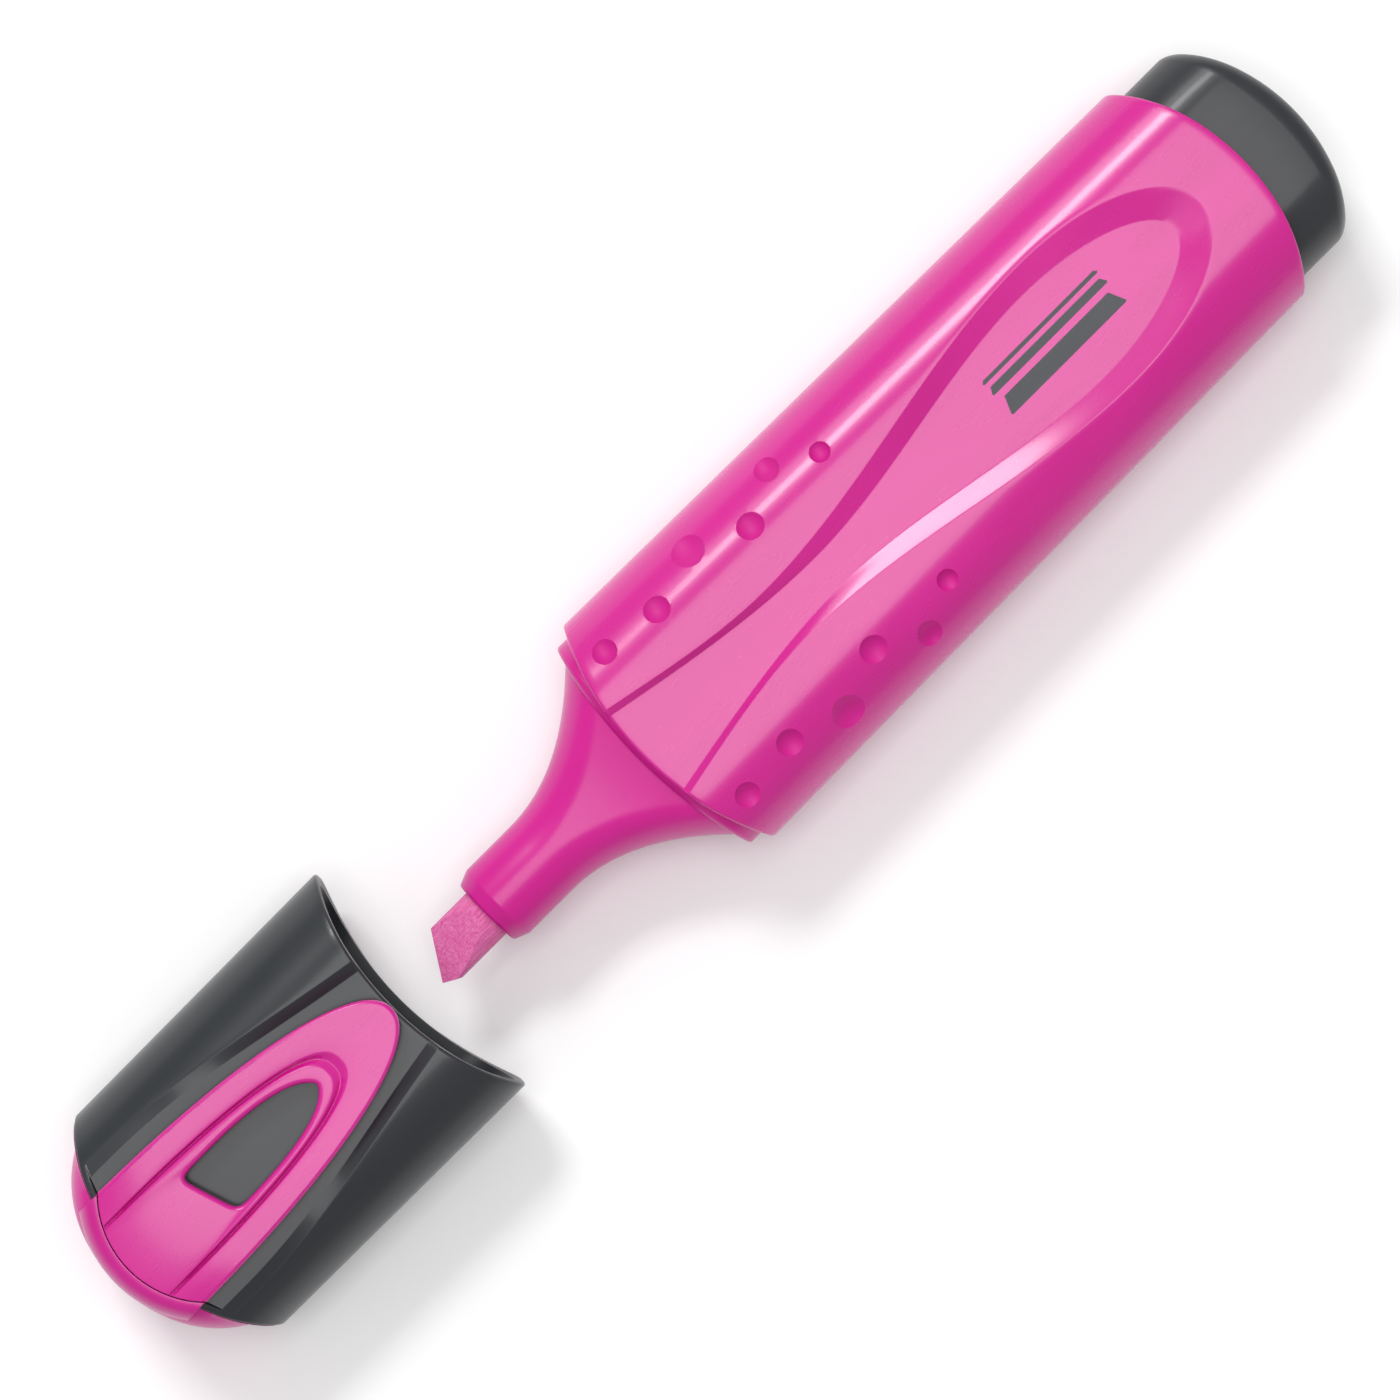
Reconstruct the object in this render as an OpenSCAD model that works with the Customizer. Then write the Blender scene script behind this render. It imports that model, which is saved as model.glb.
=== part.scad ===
// Flat-bodied highlighter pen with a pull-off cap, lying on its broad face.
// Millimetres. X runs along the pen from the cap end to the rear plug, Y across its
// width and Z through its thickness. Modules are written on the pen's own axis, with
// X = 0 at the barrel's front corners, and on_table() sets them down in the part's frame.

/* [Barrel] */
// Width over the front of the barrel
body_w = 28; // [24:0.5:34]
// Width over the rear of the barrel
rear_w = 26.4; // [23:0.1:33]
// Thickness between the two broad faces
body_t = 16; // [14:0.1:20]
// Length between the front and rear corners
barrel_l = 71.5; // [58:0.5:90]
// Wall at the narrow sides
side_wall = 1.1; // [0.9:0.05:1.4]
// Wall at the broad faces
face_wall = 1.65; // [1.35:0.05:2]
// Plan radius of the front edge, shared with the cap's rim
front_edge_r = 32; // [26:1:45]
// Plan radius of the rear edge
rear_edge_r = 24.6; // [20:0.2:40]
// Depth of the sockets that take the nib holder and the plug
socket_depth = 6; // [4:0.5:8]
// Step between the sockets and the main bore
bore_step = 0.6; // [0.4:0.05:0.9]

/* [Face relief] */
// Depth of the sunk panel at the front edge
panel_front_depth = 0.5; // [0.3:0.05:0.7]
// Depth of the sunk panel at its rear loop
panel_rear_depth = 0.9; // [0.5:0.05:1]
// Depth of the sunk panel of the cap
cap_panel_depth = 0.6; // [0.3:0.05:0.8]
// Depth of the grip dimples
dimple_depth = 0.42; // [0.2:0.02:0.6]

/* [Nib holder] */
// Outside diameter of the nozzle
nozzle_d = 8.36; // [7.6:0.02:9.4]
// Distance from the barrel's corners to the nozzle's mouth
nozzle_reach = 24; // [21:0.5:28]
// Length of the nozzle's lead-in cone
nozzle_chamfer = 1.45; // [0.8:0.05:2]
// Where the concave flare ends and the plain nozzle starts
flare_reach = 16.6; // [14:0.2:19]
// Rim of the nib holder that shows in front of the barrel
collar_lip = 1.3; // [0.8:0.1:2]
// Wall of the nib holder
holder_wall = 1.2; // [0.9:0.05:1.4]
// Wall of the tube that grips the nib
nib_tube_wall = 0.8; // [0.6:0.05:1]

/* [Nib and ink] */
// Diameter of the felt rod
nib_d = 5.36; // [4.5:0.02:6.5]
// How far the nib stands out of the nozzle
nib_reach = 7.6; // [6:0.1:9]
// Half of the chisel's wedge angle
chisel_angle = 26; // [20:1:32]
// Thickness left along the chisel's edge
chisel_edge = 0.8; // [0.5:0.1:1.2]
// How far the nib runs into the reservoir
nib_soak = 7; // [4:0.5:10]
// Thickness of the film round the reservoir
film = 0.2; // [0.1:0.05:0.3]
// Outside diameter of the breather tube
breather_d = 1.6; // [1.2:0.1:2]

/* [Rear plug] */
// How far the plug stands out past the rear corners
plug_reach = 11.1; // [8:0.1:14]
// Plan radius of the plug's end
plug_end_r = 17.4; // [14.5:0.1:26]
// Rounding between the plug's faces and its end
plug_round = 2.4; // [1.5:0.1:3]
// Wall of the plug
plug_wall = 1.2; // [0.9:0.05:1.5]

/* [Cap] */
// Cap length from its rim's corners to the end of the clip band
cap_l = 40.6; // [39:0.2:48]
// Width of the cap at its closed end
cap_end_w = 27.5; // [23.5:0.1:33]
// Distance that the cap stands off the barrel, open
cap_off = 32.8; // [20:0.1:60]
// Clearance between the cap and what goes into it
cap_fit = 0.12; // [0.05:0.01:0.3]
// Plan radius of the shell's closed end
shell_end_r = 23.1; // [19:0.1:34]
// How far the shell's end stops short of the clip band's end
shell_end_back = 3.9; // [3:0.1:5]
// Plan radius of the coloured end piece
dome_r = 15.3; // [14.5:0.1:24]
// How far the end piece stops short of the clip band's end
dome_back = 0.8; // [0.4:0.1:1.2]
// Rounding between the end piece's faces and its end
dome_round = 4; // [2.5:0.1:5]
// Inset of the end piece from the shell's outside
dome_inset = 0.3; // [0.1:0.05:0.6]
// Wall of the sealing liner
liner_wall = 1; // [0.7:0.05:1.2]

/* [Clip] */
// Width of the clip at its root
clip_w = 14.3; // [11:0.1:16]
// Length of the clip's tongue from its hinge line to its tip
clip_l = 33.2; // [28:0.2:36]
// Thickness of the clip
clip_t = 1.5; // [1.1:0.05:1.9]
// Free gap under the clip
clip_gap = 0.8; // [0.5:0.05:1.2]
// Depth of the groove round the clip's middle
clip_groove = 0.35; // [0.2:0.05:0.6]

/* [Hidden] */
$fn = 96;

push_fit = 0.03;    // clearance of pieces pushed together for good
over = 20;          // overshoot of solids that get trimmed later
half_w = body_w / 2;
rear_half_w = rear_w / 2;
half_t = body_t / 2;
taper = (rear_half_w - half_w) / barrel_l;

front_centre = sqrt(pow(front_edge_r, 2) - pow(half_w, 2));
rear_centre = barrel_l - sqrt(pow(rear_edge_r, 2) - pow(rear_half_w, 2));
front_crown = front_centre - front_edge_r;
rear_crown = rear_centre + rear_edge_r;

socket_half_w = half_w - side_wall;
socket_half_t = half_t - face_wall;
rear_socket_half_w = rear_half_w - side_wall;
bore_half_t = socket_half_t - bore_step;

nozzle_r = nozzle_d / 2;
foot_r = nozzle_r + 0.1;
nib_r = nib_d / 2;
nib_bore_r = nib_r + push_fit;
nib_tube_r = nib_bore_r + nib_tube_wall;
nib_tube_rear = socket_depth / 2;
nib_tip_x = -nozzle_reach - nib_reach;

pack_front = socket_depth + 0.3;
pack_rear = barrel_l - socket_depth - 1;
pack_half_t = bore_half_t - 0.7;
pack_half_w = rear_socket_half_w - 2.4;
nib_rear_x = pack_front + nib_soak;
breather_y = pack_half_w - breather_d / 2 - 0.6;

plug_end = barrel_l + plug_reach;
rib_w = 0.9;

cap_rim = -cap_off;                    // rim corners, with the cap off
cap_tip = cap_rim - cap_l;             // end of the clip band
cap_half_w = cap_end_w / 2;
cap_taper = (half_w - cap_half_w) / cap_l;
mouth_half_w = socket_half_w - push_fit + cap_fit;
mouth_half_t = socket_half_t - push_fit + cap_fit;
shell_end_x = cap_tip + shell_end_back;
dome_x = cap_tip + dome_back;
dome_spigot = 4.5;
liner_r = nozzle_r + push_fit;
liner_mouth = -flare_reach - 0.2 - cap_off;
liner_floor = nib_tip_x - 1.6 - cap_off;
liner_base = 1.4;

hinge_r = clip_t / 2;
hinge_gap = 0.06;
clip_tip = cap_tip + 3.6 + clip_l;
hinge_x = cap_tip + 3.6;
clip_low = half_t - cap_panel_depth + clip_gap;
hinge_z = clip_low + hinge_r;

x_shift = -(cap_tip + plug_end) / 2;

// Grip dimples: distance behind the front corners, distance off the centreline, diameter
DIMPLES = [[1.2, 9.4, 2.4], [7.4, 8.75, 2.6], [13.3, 10.6, 3.3],
           [19, 8.1, 2.8], [23.8, 10.8, 2.4], [28.4, 8.4, 2]];

// Sunk panel of the barrel, its floor and its brim: half-widths at the front edge, the
// waist and the loop, and the places of the waist, the loop's middle and the loop's end
PANEL_FLOOR = [[5.0, 1.72, 5.27], [21.5, 51.5, 66.1]];
PANEL_BRIM = [[5.75, 2.93, 7.7], [15.5, 54, 69.9]];
panel_front_slope = -0.19;

// Panel of the cap: half-widths of its brim at the rim and near the closed end
CAP_PANEL = [5.8, 9.8];
cap_panel_slope = 0.16;
cap_panel_brim = 1.2;
cap_panel_run = 28;

function mix(a, b, t) = a + (b - a) * t;
function reversed(v) = [for (i = [len(v) - 1:-1:0]) v[i]];

// Cubic curve from p0 to p1 with end tangents m0 and m1
function hermite(p0, m0, p1, m1, t) =
    (2 * pow(t, 3) - 3 * t * t + 1) * p0 + (pow(t, 3) - 2 * t * t + t) * m0
    + (3 * t * t - 2 * pow(t, 3)) * p1 + (pow(t, 3) - t * t) * m1;

// Half outline of the barrel's panel as [x, y], from ahead of the front edge to the loop's end
function panel_outline(shape) =
    let (w = shape[0], at = shape[1] * barrel_l / 71.5, x0 = front_crown - 0.6,
         run = at[0] - x0, slope = panel_front_slope * run)
    concat(
        [[x0 - 4, w[0] - panel_front_slope * 4]],
        [for (i = [0:9]) [mix(x0, at[0], i / 10), hermite(w[0], slope, w[1], 0, i / 10)]],
        [for (i = [0:13]) [mix(at[0], at[1], i / 14), hermite(w[1], 0, w[2], 0, i / 14)]],
        [for (a = [0:7.5:90]) [at[1] + (at[2] - at[1]) * sin(a), max(w[2] * cos(a), 0.01)]]);

// Half outline of the cap's panel, from ahead of the rim to past the closed end
function cap_panel_outline(inset) =
    let (x0 = cap_rim + front_crown, x1 = x0 - cap_panel_run)
    concat(
        [[x0 + over / 2, CAP_PANEL[0] - cap_panel_slope * over / 2 - inset]],
        [for (i = [0:12]) [mix(x0, x1, i / 12),
            hermite(CAP_PANEL[0], cap_panel_slope * cap_panel_run, CAP_PANEL[1], 0, i / 12) - inset]],
        [[cap_tip - 5, CAP_PANEL[1] - inset]]);

// Closed outline of a flat bar with round sides, as points [y, z]
function capsule_points(w, t, n = 10) =
    concat([for (i = [0:n]) let (a = -90 + 180 * i / n) [w - t + t * cos(a), t * sin(a)]],
           [for (i = [0:n]) let (a = 90 + 180 * i / n) [t - w + t * cos(a), t * sin(a)]]);

// Distance ahead of the barrel's corners of its front edge, y off the centreline
function front_edge_x(y) = front_centre - sqrt(pow(front_edge_r, 2) - y * y);

// One ring of the nib holder's flare, from its foot at t = 0 to the nozzle at t = 1
function flare_ring(t, inset) =
    let (w0 = socket_half_w - 1.6, k = pow(1 - t, 2),
         w = foot_r + (w0 - foot_r) * k - inset,
         h = foot_r + (socket_half_t - 0.3 - foot_r) * k - inset)
    [for (p = capsule_points(w + 0.02, h))
        [mix(front_edge_x(p[0] * w0 / w) - collar_lip + 0.4, -flare_reach, t), p[0], p[1]]];

// Closed solid through rings of equally many points, laid from +X towards -X
module skin(rings) {
    n = len(rings[0]);
    m = len(rings);
    sides = [for (i = [0:m - 2], j = [0:n - 1])
        let (a = i * n + j, b = i * n + (j + 1) % n)
        each [[a, b, b + n], [a, b + n, a + n]]];
    caps = [for (j = [1:n - 2])
        each [[0, j + 1, j], [(m - 1) * n, (m - 1) * n + j, (m - 1) * n + j + 1]]];
    polyhedron(points = [for (r = rings) each r], faces = concat(sides, caps));
}

module on_table() {
    translate([x_shift, 0, half_t]) children();
}

module both_faces() {
    children();
    rotate([180, 0, 0]) children();
}

// Straight bar along X with flat faces and round sides
module capsule(x0, x1, w, t) {
    translate([x0, 0, 0]) rotate([90, 0, 90]) linear_extrude(x1 - x0) {
        square([2 * (w - t), 2 * t], center = true);
        for (s = [-1, 1]) translate([s * (w - t), 0]) circle(r = t);
    }
}

// The same with sides that close in by slope for each millimetre of X, w wide at X = 0
module tapered_capsule(x0, x1, w, slope, t) {
    from = x0 - 2;
    side = w + slope * from - t;
    intersection() {
        for (s = [-1, 1])
            translate([from, s * side, 0]) rotate([0, 0, s * atan(slope)]) rotate([90, 0, 90])
                linear_extrude(x1 - x0 + 4) {
                    translate([s > 0 ? -1.6 * side : 0, -t]) square([1.6 * side, 2 * t]);
                    circle(r = t);
                }
        translate([x0, -half_w - 2, -half_t - 1]) cube([x1 - x0, body_w + 4, body_t + 2]);
    }
}

// Everything between a left edge and a right edge that are arcs in plan
module between_arcs(left_centre, left_r, right_centre, right_r) {
    tall = body_t + over;
    wide = 2 * half_w + 4;
    module half_disc(centre, r, side) {
        intersection() {
            translate([centre, 0]) circle(r = r, $fn = 200);
            translate([centre + (side < 0 ? -r - 1 : 0), -wide / 2]) square([r + 1, wide]);
        }
    }
    translate([0, 0, -tall / 2]) linear_extrude(tall) {
        half_disc(left_centre, left_r, -1);
        half_disc(right_centre, right_r, 1);
        translate([min(left_centre, right_centre) - 0.01, -wide / 2])
            square([abs(right_centre - left_centre) + 0.02, wide]);
    }
}

// Side view of a bar whose right-hand end is rounded, swept across the width
module rounded_end(x0, x1, t, r) {
    rotate([90, 0, 0]) linear_extrude(2 * half_w + over, center = true) {
        translate([x0, -t]) square([x1 - r - x0, 2 * t]);
        translate([x1 - r - 0.01, r - t]) square([r + 0.01, 2 * (t - r)]);
        for (s = [-1, 1]) translate([x1 - r, s * (t - r)]) circle(r = r);
    }
}

// Cutter with sloping walls: floor and brim are matching half outlines
module relief(floor_line, brim_line, depth0, x0, depth1, x1) {
    rise = 0.6;
    skin([for (i = [0:len(floor_line) - 1])
        let (f = floor_line[i], b = brim_line[i], p = f + (b - f) * (1 + rise),
             d = mix(depth0, depth1, (f[0] - x0) / (x1 - x0)))
        [[f[0], -f[1], half_t - d], [f[0], f[1], half_t - d],
         [p[0], p[1], half_t + d * rise], [p[0], -p[1], half_t + d * rise]]]);
}

module barrel_relief() {
    relief(reversed(panel_outline(PANEL_FLOOR)), reversed(panel_outline(PANEL_BRIM)),
           panel_front_depth, front_crown, panel_rear_depth, PANEL_FLOOR[1][2]);
}

module dimples() {
    for (d = DIMPLES, s = [-1, 1]) {
        x = d[0];
        core = half_w + taper * x - half_t;
        y = d[1] * half_w / 14;
        lean = asin(max(0, y - core) / half_t);
        r = (pow(d[2] / 2, 2) + pow(dimple_depth, 2)) / (2 * dimple_depth);
        translate([x, s * min(y, core), 0]) rotate([-s * lean, 0, 0])
            translate([0, 0, half_t + r - dimple_depth]) sphere(r = r);
    }
}

// Ribs inside the barrel that hold the reservoir off its wall
module barrel_ribs() {
    gap = 0.05;
    top = pack_half_t + film + gap;
    from = socket_depth + 1;
    to = pack_rear - 1;
    for (s = [-1, 1], y = [-1, 1])
        translate([from, y * pack_half_w / 2 - rib_w / 2, s > 0 ? top : -bore_half_t - 0.3])
            cube([to - from, rib_w, bore_half_t + 0.3 - top]);
    for (s = [-1, 1])
        translate([from, s > 0 ? pack_half_w + film + gap : -half_w + side_wall, -rib_w / 2])
            cube([to - from, half_w - side_wall - pack_half_w - film - gap, rib_w]);
}

module barrel() {
    color("hotpink") {
        difference() {
            intersection() {
                tapered_capsule(front_crown - 1, rear_crown + 1, half_w, taper, half_t);
                between_arcs(front_centre, front_edge_r, rear_centre, rear_edge_r);
            }
            tapered_capsule(front_crown - 2, rear_crown + 2, socket_half_w - bore_step, taper, bore_half_t);
            tapered_capsule(front_crown - 2, socket_depth, socket_half_w, taper, socket_half_t);
            tapered_capsule(barrel_l - socket_depth, rear_crown + 2, socket_half_w, taper, socket_half_t);
            both_faces() barrel_relief();
            both_faces() dimples();
        }
        barrel_ribs();
    }
}

module nib_holder() {
    w = socket_half_w - push_fit;
    t = socket_half_t - push_fit;
    lip_r = front_edge_r;
    color("deeppink") difference() {
        union() {
            intersection() {
                tapered_capsule(front_crown - 2 * collar_lip, socket_depth - push_fit, w, taper, t);
                between_arcs(front_centre - collar_lip, lip_r, barrel_l / 2, 4 * half_w);
            }
            skin(concat(
                [[for (p = flare_ring(0, 0)) [0.5, p[1], p[2]]]],
                [for (i = [0:11]) flare_ring(i / 11, 0)]));
            translate([-nozzle_reach + nozzle_chamfer, 0, 0]) rotate([0, 90, 0])
                cylinder(r = nozzle_r, h = nozzle_reach - nozzle_chamfer - 2);
            translate([-nozzle_reach, 0, 0]) rotate([0, 90, 0])
                cylinder(r1 = nozzle_r - 0.6, r2 = nozzle_r, h = nozzle_chamfer);
        }
        // hollow round the nib tube
        difference() {
            union() {
                capsule(-1, socket_depth + 1, w - holder_wall, t - holder_wall);
                skin(concat(
                    [[for (p = flare_ring(0, holder_wall)) [0, p[1], p[2]]]],
                    [for (i = [0:4]) flare_ring(i / 11, holder_wall)]));
            }
            translate([-nozzle_reach, 0, 0]) rotate([0, 90, 0])
                cylinder(r = nib_tube_r, h = nozzle_reach + nib_tube_rear);
        }
        translate([-nozzle_reach - 1, 0, 0]) rotate([0, 90, 0])
            cylinder(r = nib_bore_r, h = nozzle_reach + socket_depth + 2);
        // air channels beside the nib
        for (a = [90, 210, 330]) rotate([a, 0, 0])
            translate([-nozzle_reach + 3, nib_bore_r, 0]) rotate([0, 90, 0])
                cylinder(r = 0.35, h = nozzle_reach + socket_depth, $fn = 24);
    }
}

module nib() {
    high = nib_r * 0.9;                 // side of the rod where the chisel's edge starts
    low = -nib_r * 0.65;                // side where it ends
    back = 2.65;                        // how far the edge runs back from its tip
    edge_angle = atan2(high - low, back);
    rear_cone = 2;
    color("violet") intersection() {
        union() {
            translate([nib_tip_x - 1, 0, 0]) rotate([0, 90, 0])
                cylinder(r = nib_r, h = nib_rear_x - rear_cone - nib_tip_x + 1);
            translate([nib_rear_x - rear_cone, 0, 0]) rotate([0, 90, 0])
                cylinder(r1 = nib_r, r2 = nib_r / 2, h = rear_cone);
        }
        translate([0, 0, -nib_r - 1]) linear_extrude(2 * nib_r + 2)
            polygon([[nib_tip_x, low], [nib_tip_x + back, high], [nib_tip_x + back, nib_r + 1],
                     [nib_rear_x + 1, nib_r + 1], [nib_rear_x + 1, -nib_r - 1],
                     [nib_tip_x + 1.7, -nib_r - 0.01]]);
        translate([nib_tip_x, low, 0]) rotate([0, 0, edge_angle]) rotate([90, 0, 90])
            linear_extrude(8 * nib_r, center = true)
                polygon([[0.01, -chisel_edge / 2], [0.01, chisel_edge / 2],
                         [-over, chisel_edge / 2 + over * tan(chisel_angle)],
                         [-over - nib_rear_x + nib_tip_x, over], [-over - nib_rear_x + nib_tip_x, -over],
                         [-over, -chisel_edge / 2 - over * tan(chisel_angle)]]);
    }
}

module ink_reservoir() {
    color("lightpink") difference() {
        capsule(pack_front, pack_rear, pack_half_w, pack_half_t);
        translate([pack_front - 1, 0, 0]) rotate([0, 90, 0])
            cylinder(r = nib_bore_r, h = nib_rear_x - pack_front + 1.2);
        translate([pack_front - 1, breather_y, 0]) rotate([0, 90, 0])
            cylinder(r = breather_d / 2 + push_fit, h = pack_rear - pack_front + 2);
    }
}

module reservoir_film() {
    color("whitesmoke") difference() {
        capsule(pack_front, pack_rear, pack_half_w + film, pack_half_t + film);
        capsule(pack_front - 1, pack_rear + 1, pack_half_w + 0.01, pack_half_t + 0.01);
    }
}

module breather_tube() {
    color("white") translate([pack_front, breather_y, 0]) rotate([0, 90, 0])
        difference() {
            cylinder(r = breather_d / 2, h = pack_rear - pack_front, $fn = 32);
            translate([0, 0, -1]) cylinder(r = breather_d / 2 - 0.3, h = pack_rear - pack_front + 2, $fn = 32);
        }
}

module rear_plug() {
    w = socket_half_w - push_fit;
    t = socket_half_t - push_fit;
    from = barrel_l - socket_depth + push_fit;
    wall_x = plug_end - 3;
    pad_half_t = bore_half_t - 0.3;
    color("dimgray") {
        difference() {
            intersection() {
                tapered_capsule(from, plug_end + 1, w, taper, t);
                between_arcs(from - 10, 4 * half_w, plug_end - plug_end_r, plug_end_r);
                rounded_end(from - 1, plug_end, t, plug_round);
            }
            tapered_capsule(from - 1, wall_x - 2, w - plug_wall, taper, t - plug_wall);
        }
        // pads that stop the reservoir
        for (s = [-1, 1]) translate([pack_rear + 0.1, s * pack_half_w / 2 - rib_w / 2, -pad_half_t])
            cube([wall_x - pack_rear - 1, rib_w, 2 * pad_half_t]);
    }
}

module cap_outside(inset) {
    translate([cap_rim, 0, 0]) tapered_capsule(-cap_l - 1, 0, half_w - inset, cap_taper, half_t - inset);
}

module cap_relief() {
    relief(cap_panel_outline(cap_panel_brim), cap_panel_outline(0),
           cap_panel_depth, cap_tip, cap_panel_depth, cap_rim);
}

module cap_shell() {
    color("darkslategray") difference() {
        intersection() {
            cap_outside(0);
            between_arcs(shell_end_x + shell_end_r, shell_end_r, cap_rim - 5, front_edge_r * 3);
        }
        // concave rim that matches the barrel's front edge
        translate([cap_rim + front_centre, 0, -half_t - 1]) cylinder(r = front_edge_r, h = body_t + 2, $fn = 200);
        translate([cap_rim, 0, 0])
            tapered_capsule(-cap_l - 2, 2, mouth_half_w, cap_taper, mouth_half_t);
        both_faces() cap_relief();
    }
}

module cap_end() {
    w = mouth_half_w - push_fit;
    t = mouth_half_t - push_fit;
    floor_x = shell_end_x + dome_spigot;
    color("hotpink") difference() {
        union() {
            intersection() {
                cap_outside(dome_inset);
                between_arcs(dome_x + dome_r, dome_r, dome_x + dome_r, 1);
                mirror([1, 0, 0]) rounded_end(-cap_rim, -dome_x, half_t - dome_inset, dome_round);
                difference() {
                    translate([cap_tip - 1, -half_w, -half_t]) cube([over, 2 * half_w, body_t]);
                    translate([shell_end_x - push_fit + shell_end_r, 0, -half_t - 1])
                        cylinder(r = shell_end_r, h = body_t + 2, $fn = 200);
                }
            }
            intersection() {
                translate([cap_rim, 0, 0]) tapered_capsule(-cap_l - 1, 0, w, cap_taper, t);
                between_arcs(dome_x + 1.2 + dome_r, dome_r, dome_x + dome_r, 1);
                translate([cap_tip, -half_w, -half_t]) cube([floor_x - cap_tip, 2 * half_w, body_t]);
            }
            // root of the clip, with the seat of its hinge
            intersection() {
                translate([cap_tip, -clip_w / 2, half_t - 1.6])
                    cube([hinge_x - cap_tip, clip_w, clip_low + clip_t - half_t + 1.6]);
                between_arcs(cap_tip + dome_r, dome_r, dome_x + dome_r, 1);
                mirror([1, 0, 0]) rounded_end(-cap_rim, -cap_tip, clip_low + clip_t, 2.4);
            }
        }
        translate([hinge_x, 0, hinge_z]) rotate([90, 0, 0])
            cylinder(r = hinge_r + hinge_gap, h = clip_w + 2, center = true, $fn = 48);
        // seat of the liner
        translate([liner_floor - liner_wall - liner_base, 0, 0]) rotate([0, 90, 0])
            cylinder(r = liner_r + liner_wall + push_fit, h = over);
    }
}

module cap_liner() {
    foot = liner_floor - liner_wall - liner_base + push_fit;
    color("lightgray") rotate([0, 90, 0]) translate([0, 0, foot]) difference() {
        cylinder(r = liner_r + liner_wall, h = liner_mouth - foot);
        translate([0, 0, liner_floor - foot]) cylinder(r = liner_r, h = over * 2);
    }
}

// Half an ellipse along the clip, with a straight stretch behind the hinge line
module clip_loop(reach, half) {
    n = 24;
    polygon(concat(
        [[hinge_x - 2, -half], [hinge_x, -half]],
        [for (i = [1:2 * n - 1]) let (q = -90 + 90 * i / n) [hinge_x + reach * cos(q), half * sin(q)]],
        [[hinge_x, half], [hinge_x - 2, half]]));
}

module clip() {
    bead_x = clip_tip - 4;
    window_x = hinge_x + 8;
    color("hotpink") {
        difference() {
            intersection() {
                translate([0, 0, clip_low]) linear_extrude(clip_t) clip_loop(clip_l, clip_w / 2);
                union() {
                    translate([hinge_x, -half_w, 0]) cube([clip_l + 1, 2 * half_w, body_t]);
                    translate([hinge_x, 0, hinge_z]) rotate([90, 0, 0])
                        cylinder(r = hinge_r, h = clip_w, center = true, $fn = 48);
                }
            }
            // groove round the clip's middle
            translate([0, 0, clip_low + clip_t - clip_groove]) linear_extrude(clip_t)
                difference() {
                    clip_loop(clip_l - 7.2, clip_w * 0.31);
                    clip_loop(clip_l - 8.6, clip_w * 0.31 - 0.5);
                }
            translate([0, 0, clip_low - 1]) linear_extrude(clip_t + 2)
                polygon([[window_x, 2.6], [window_x + 8, 2.1], [window_x + 13, 1.2], [window_x + 15.5, 0],
                         [window_x + 13, -1.4], [window_x + 8, -2.3], [window_x + 2, -2.8]]);
        }
        translate([bead_x, 0, clip_low]) rotate([90, 0, 0])
            cylinder(r = clip_gap - 0.1, h = clip_w / 3, center = true, $fn = 32);
    }
}

on_table() barrel();
on_table() nib_holder();
on_table() nib();
on_table() ink_reservoir();
on_table() reservoir_film();
on_table() breather_tube();
on_table() rear_plug();
on_table() cap_shell();
on_table() cap_end();
on_table() cap_liner();
on_table() clip();
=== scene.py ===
"""Flat-bodied highlighter with its cap off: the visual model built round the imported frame."""

import logging
import math
from dataclasses import dataclass, field
from enum import Enum
from typing import Callable, Iterable, Union

import bmesh
import bpy
from mathutils import Matrix, Vector


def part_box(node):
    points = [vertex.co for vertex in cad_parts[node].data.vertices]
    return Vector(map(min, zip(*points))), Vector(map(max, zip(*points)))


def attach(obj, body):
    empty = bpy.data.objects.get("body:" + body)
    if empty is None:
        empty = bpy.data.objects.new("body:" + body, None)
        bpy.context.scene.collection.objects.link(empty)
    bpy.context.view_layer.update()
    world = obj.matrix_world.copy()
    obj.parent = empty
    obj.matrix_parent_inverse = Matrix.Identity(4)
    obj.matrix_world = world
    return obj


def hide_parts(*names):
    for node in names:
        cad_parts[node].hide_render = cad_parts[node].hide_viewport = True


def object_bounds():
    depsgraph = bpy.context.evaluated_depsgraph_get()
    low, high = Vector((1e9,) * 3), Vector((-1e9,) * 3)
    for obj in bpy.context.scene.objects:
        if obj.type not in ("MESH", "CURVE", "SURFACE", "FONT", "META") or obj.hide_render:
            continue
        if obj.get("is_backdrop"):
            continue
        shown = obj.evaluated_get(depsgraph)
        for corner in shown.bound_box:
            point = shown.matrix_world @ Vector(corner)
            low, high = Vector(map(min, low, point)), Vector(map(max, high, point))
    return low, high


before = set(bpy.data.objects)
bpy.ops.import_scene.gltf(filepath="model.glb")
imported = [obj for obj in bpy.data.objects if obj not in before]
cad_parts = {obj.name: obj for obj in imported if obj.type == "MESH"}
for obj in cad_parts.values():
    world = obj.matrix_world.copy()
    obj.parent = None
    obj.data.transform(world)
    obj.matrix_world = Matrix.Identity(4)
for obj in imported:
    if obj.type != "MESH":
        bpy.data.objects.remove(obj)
CAD_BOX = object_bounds()

LOG = logging.getLogger("highlighter")
MM = 0.001

# A round ring is a flat bar that is this much wider than thick, in millimetres.
TINY = 1e-4
# The turns of a rim's rounding, in degrees.
RIM_TURNS = (25, 50, 75, 90)
# The shares of its height at which an end's closing rings lie.
CLOSING = (0.8, 0.5, 0.2, 0.0)
# How much each half width of the pen changes with each millimetre along it.
PEN_TAPER = -0.01119
CAP_TAPER = 0.00616

Flat = tuple[float, float]
Point = tuple[float, float, float]
Rgba = tuple[float, float, float, float]
Ring = list[Point]
Row = Callable[[float], float]


# ---------------------------------------------------------------- small maths


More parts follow.
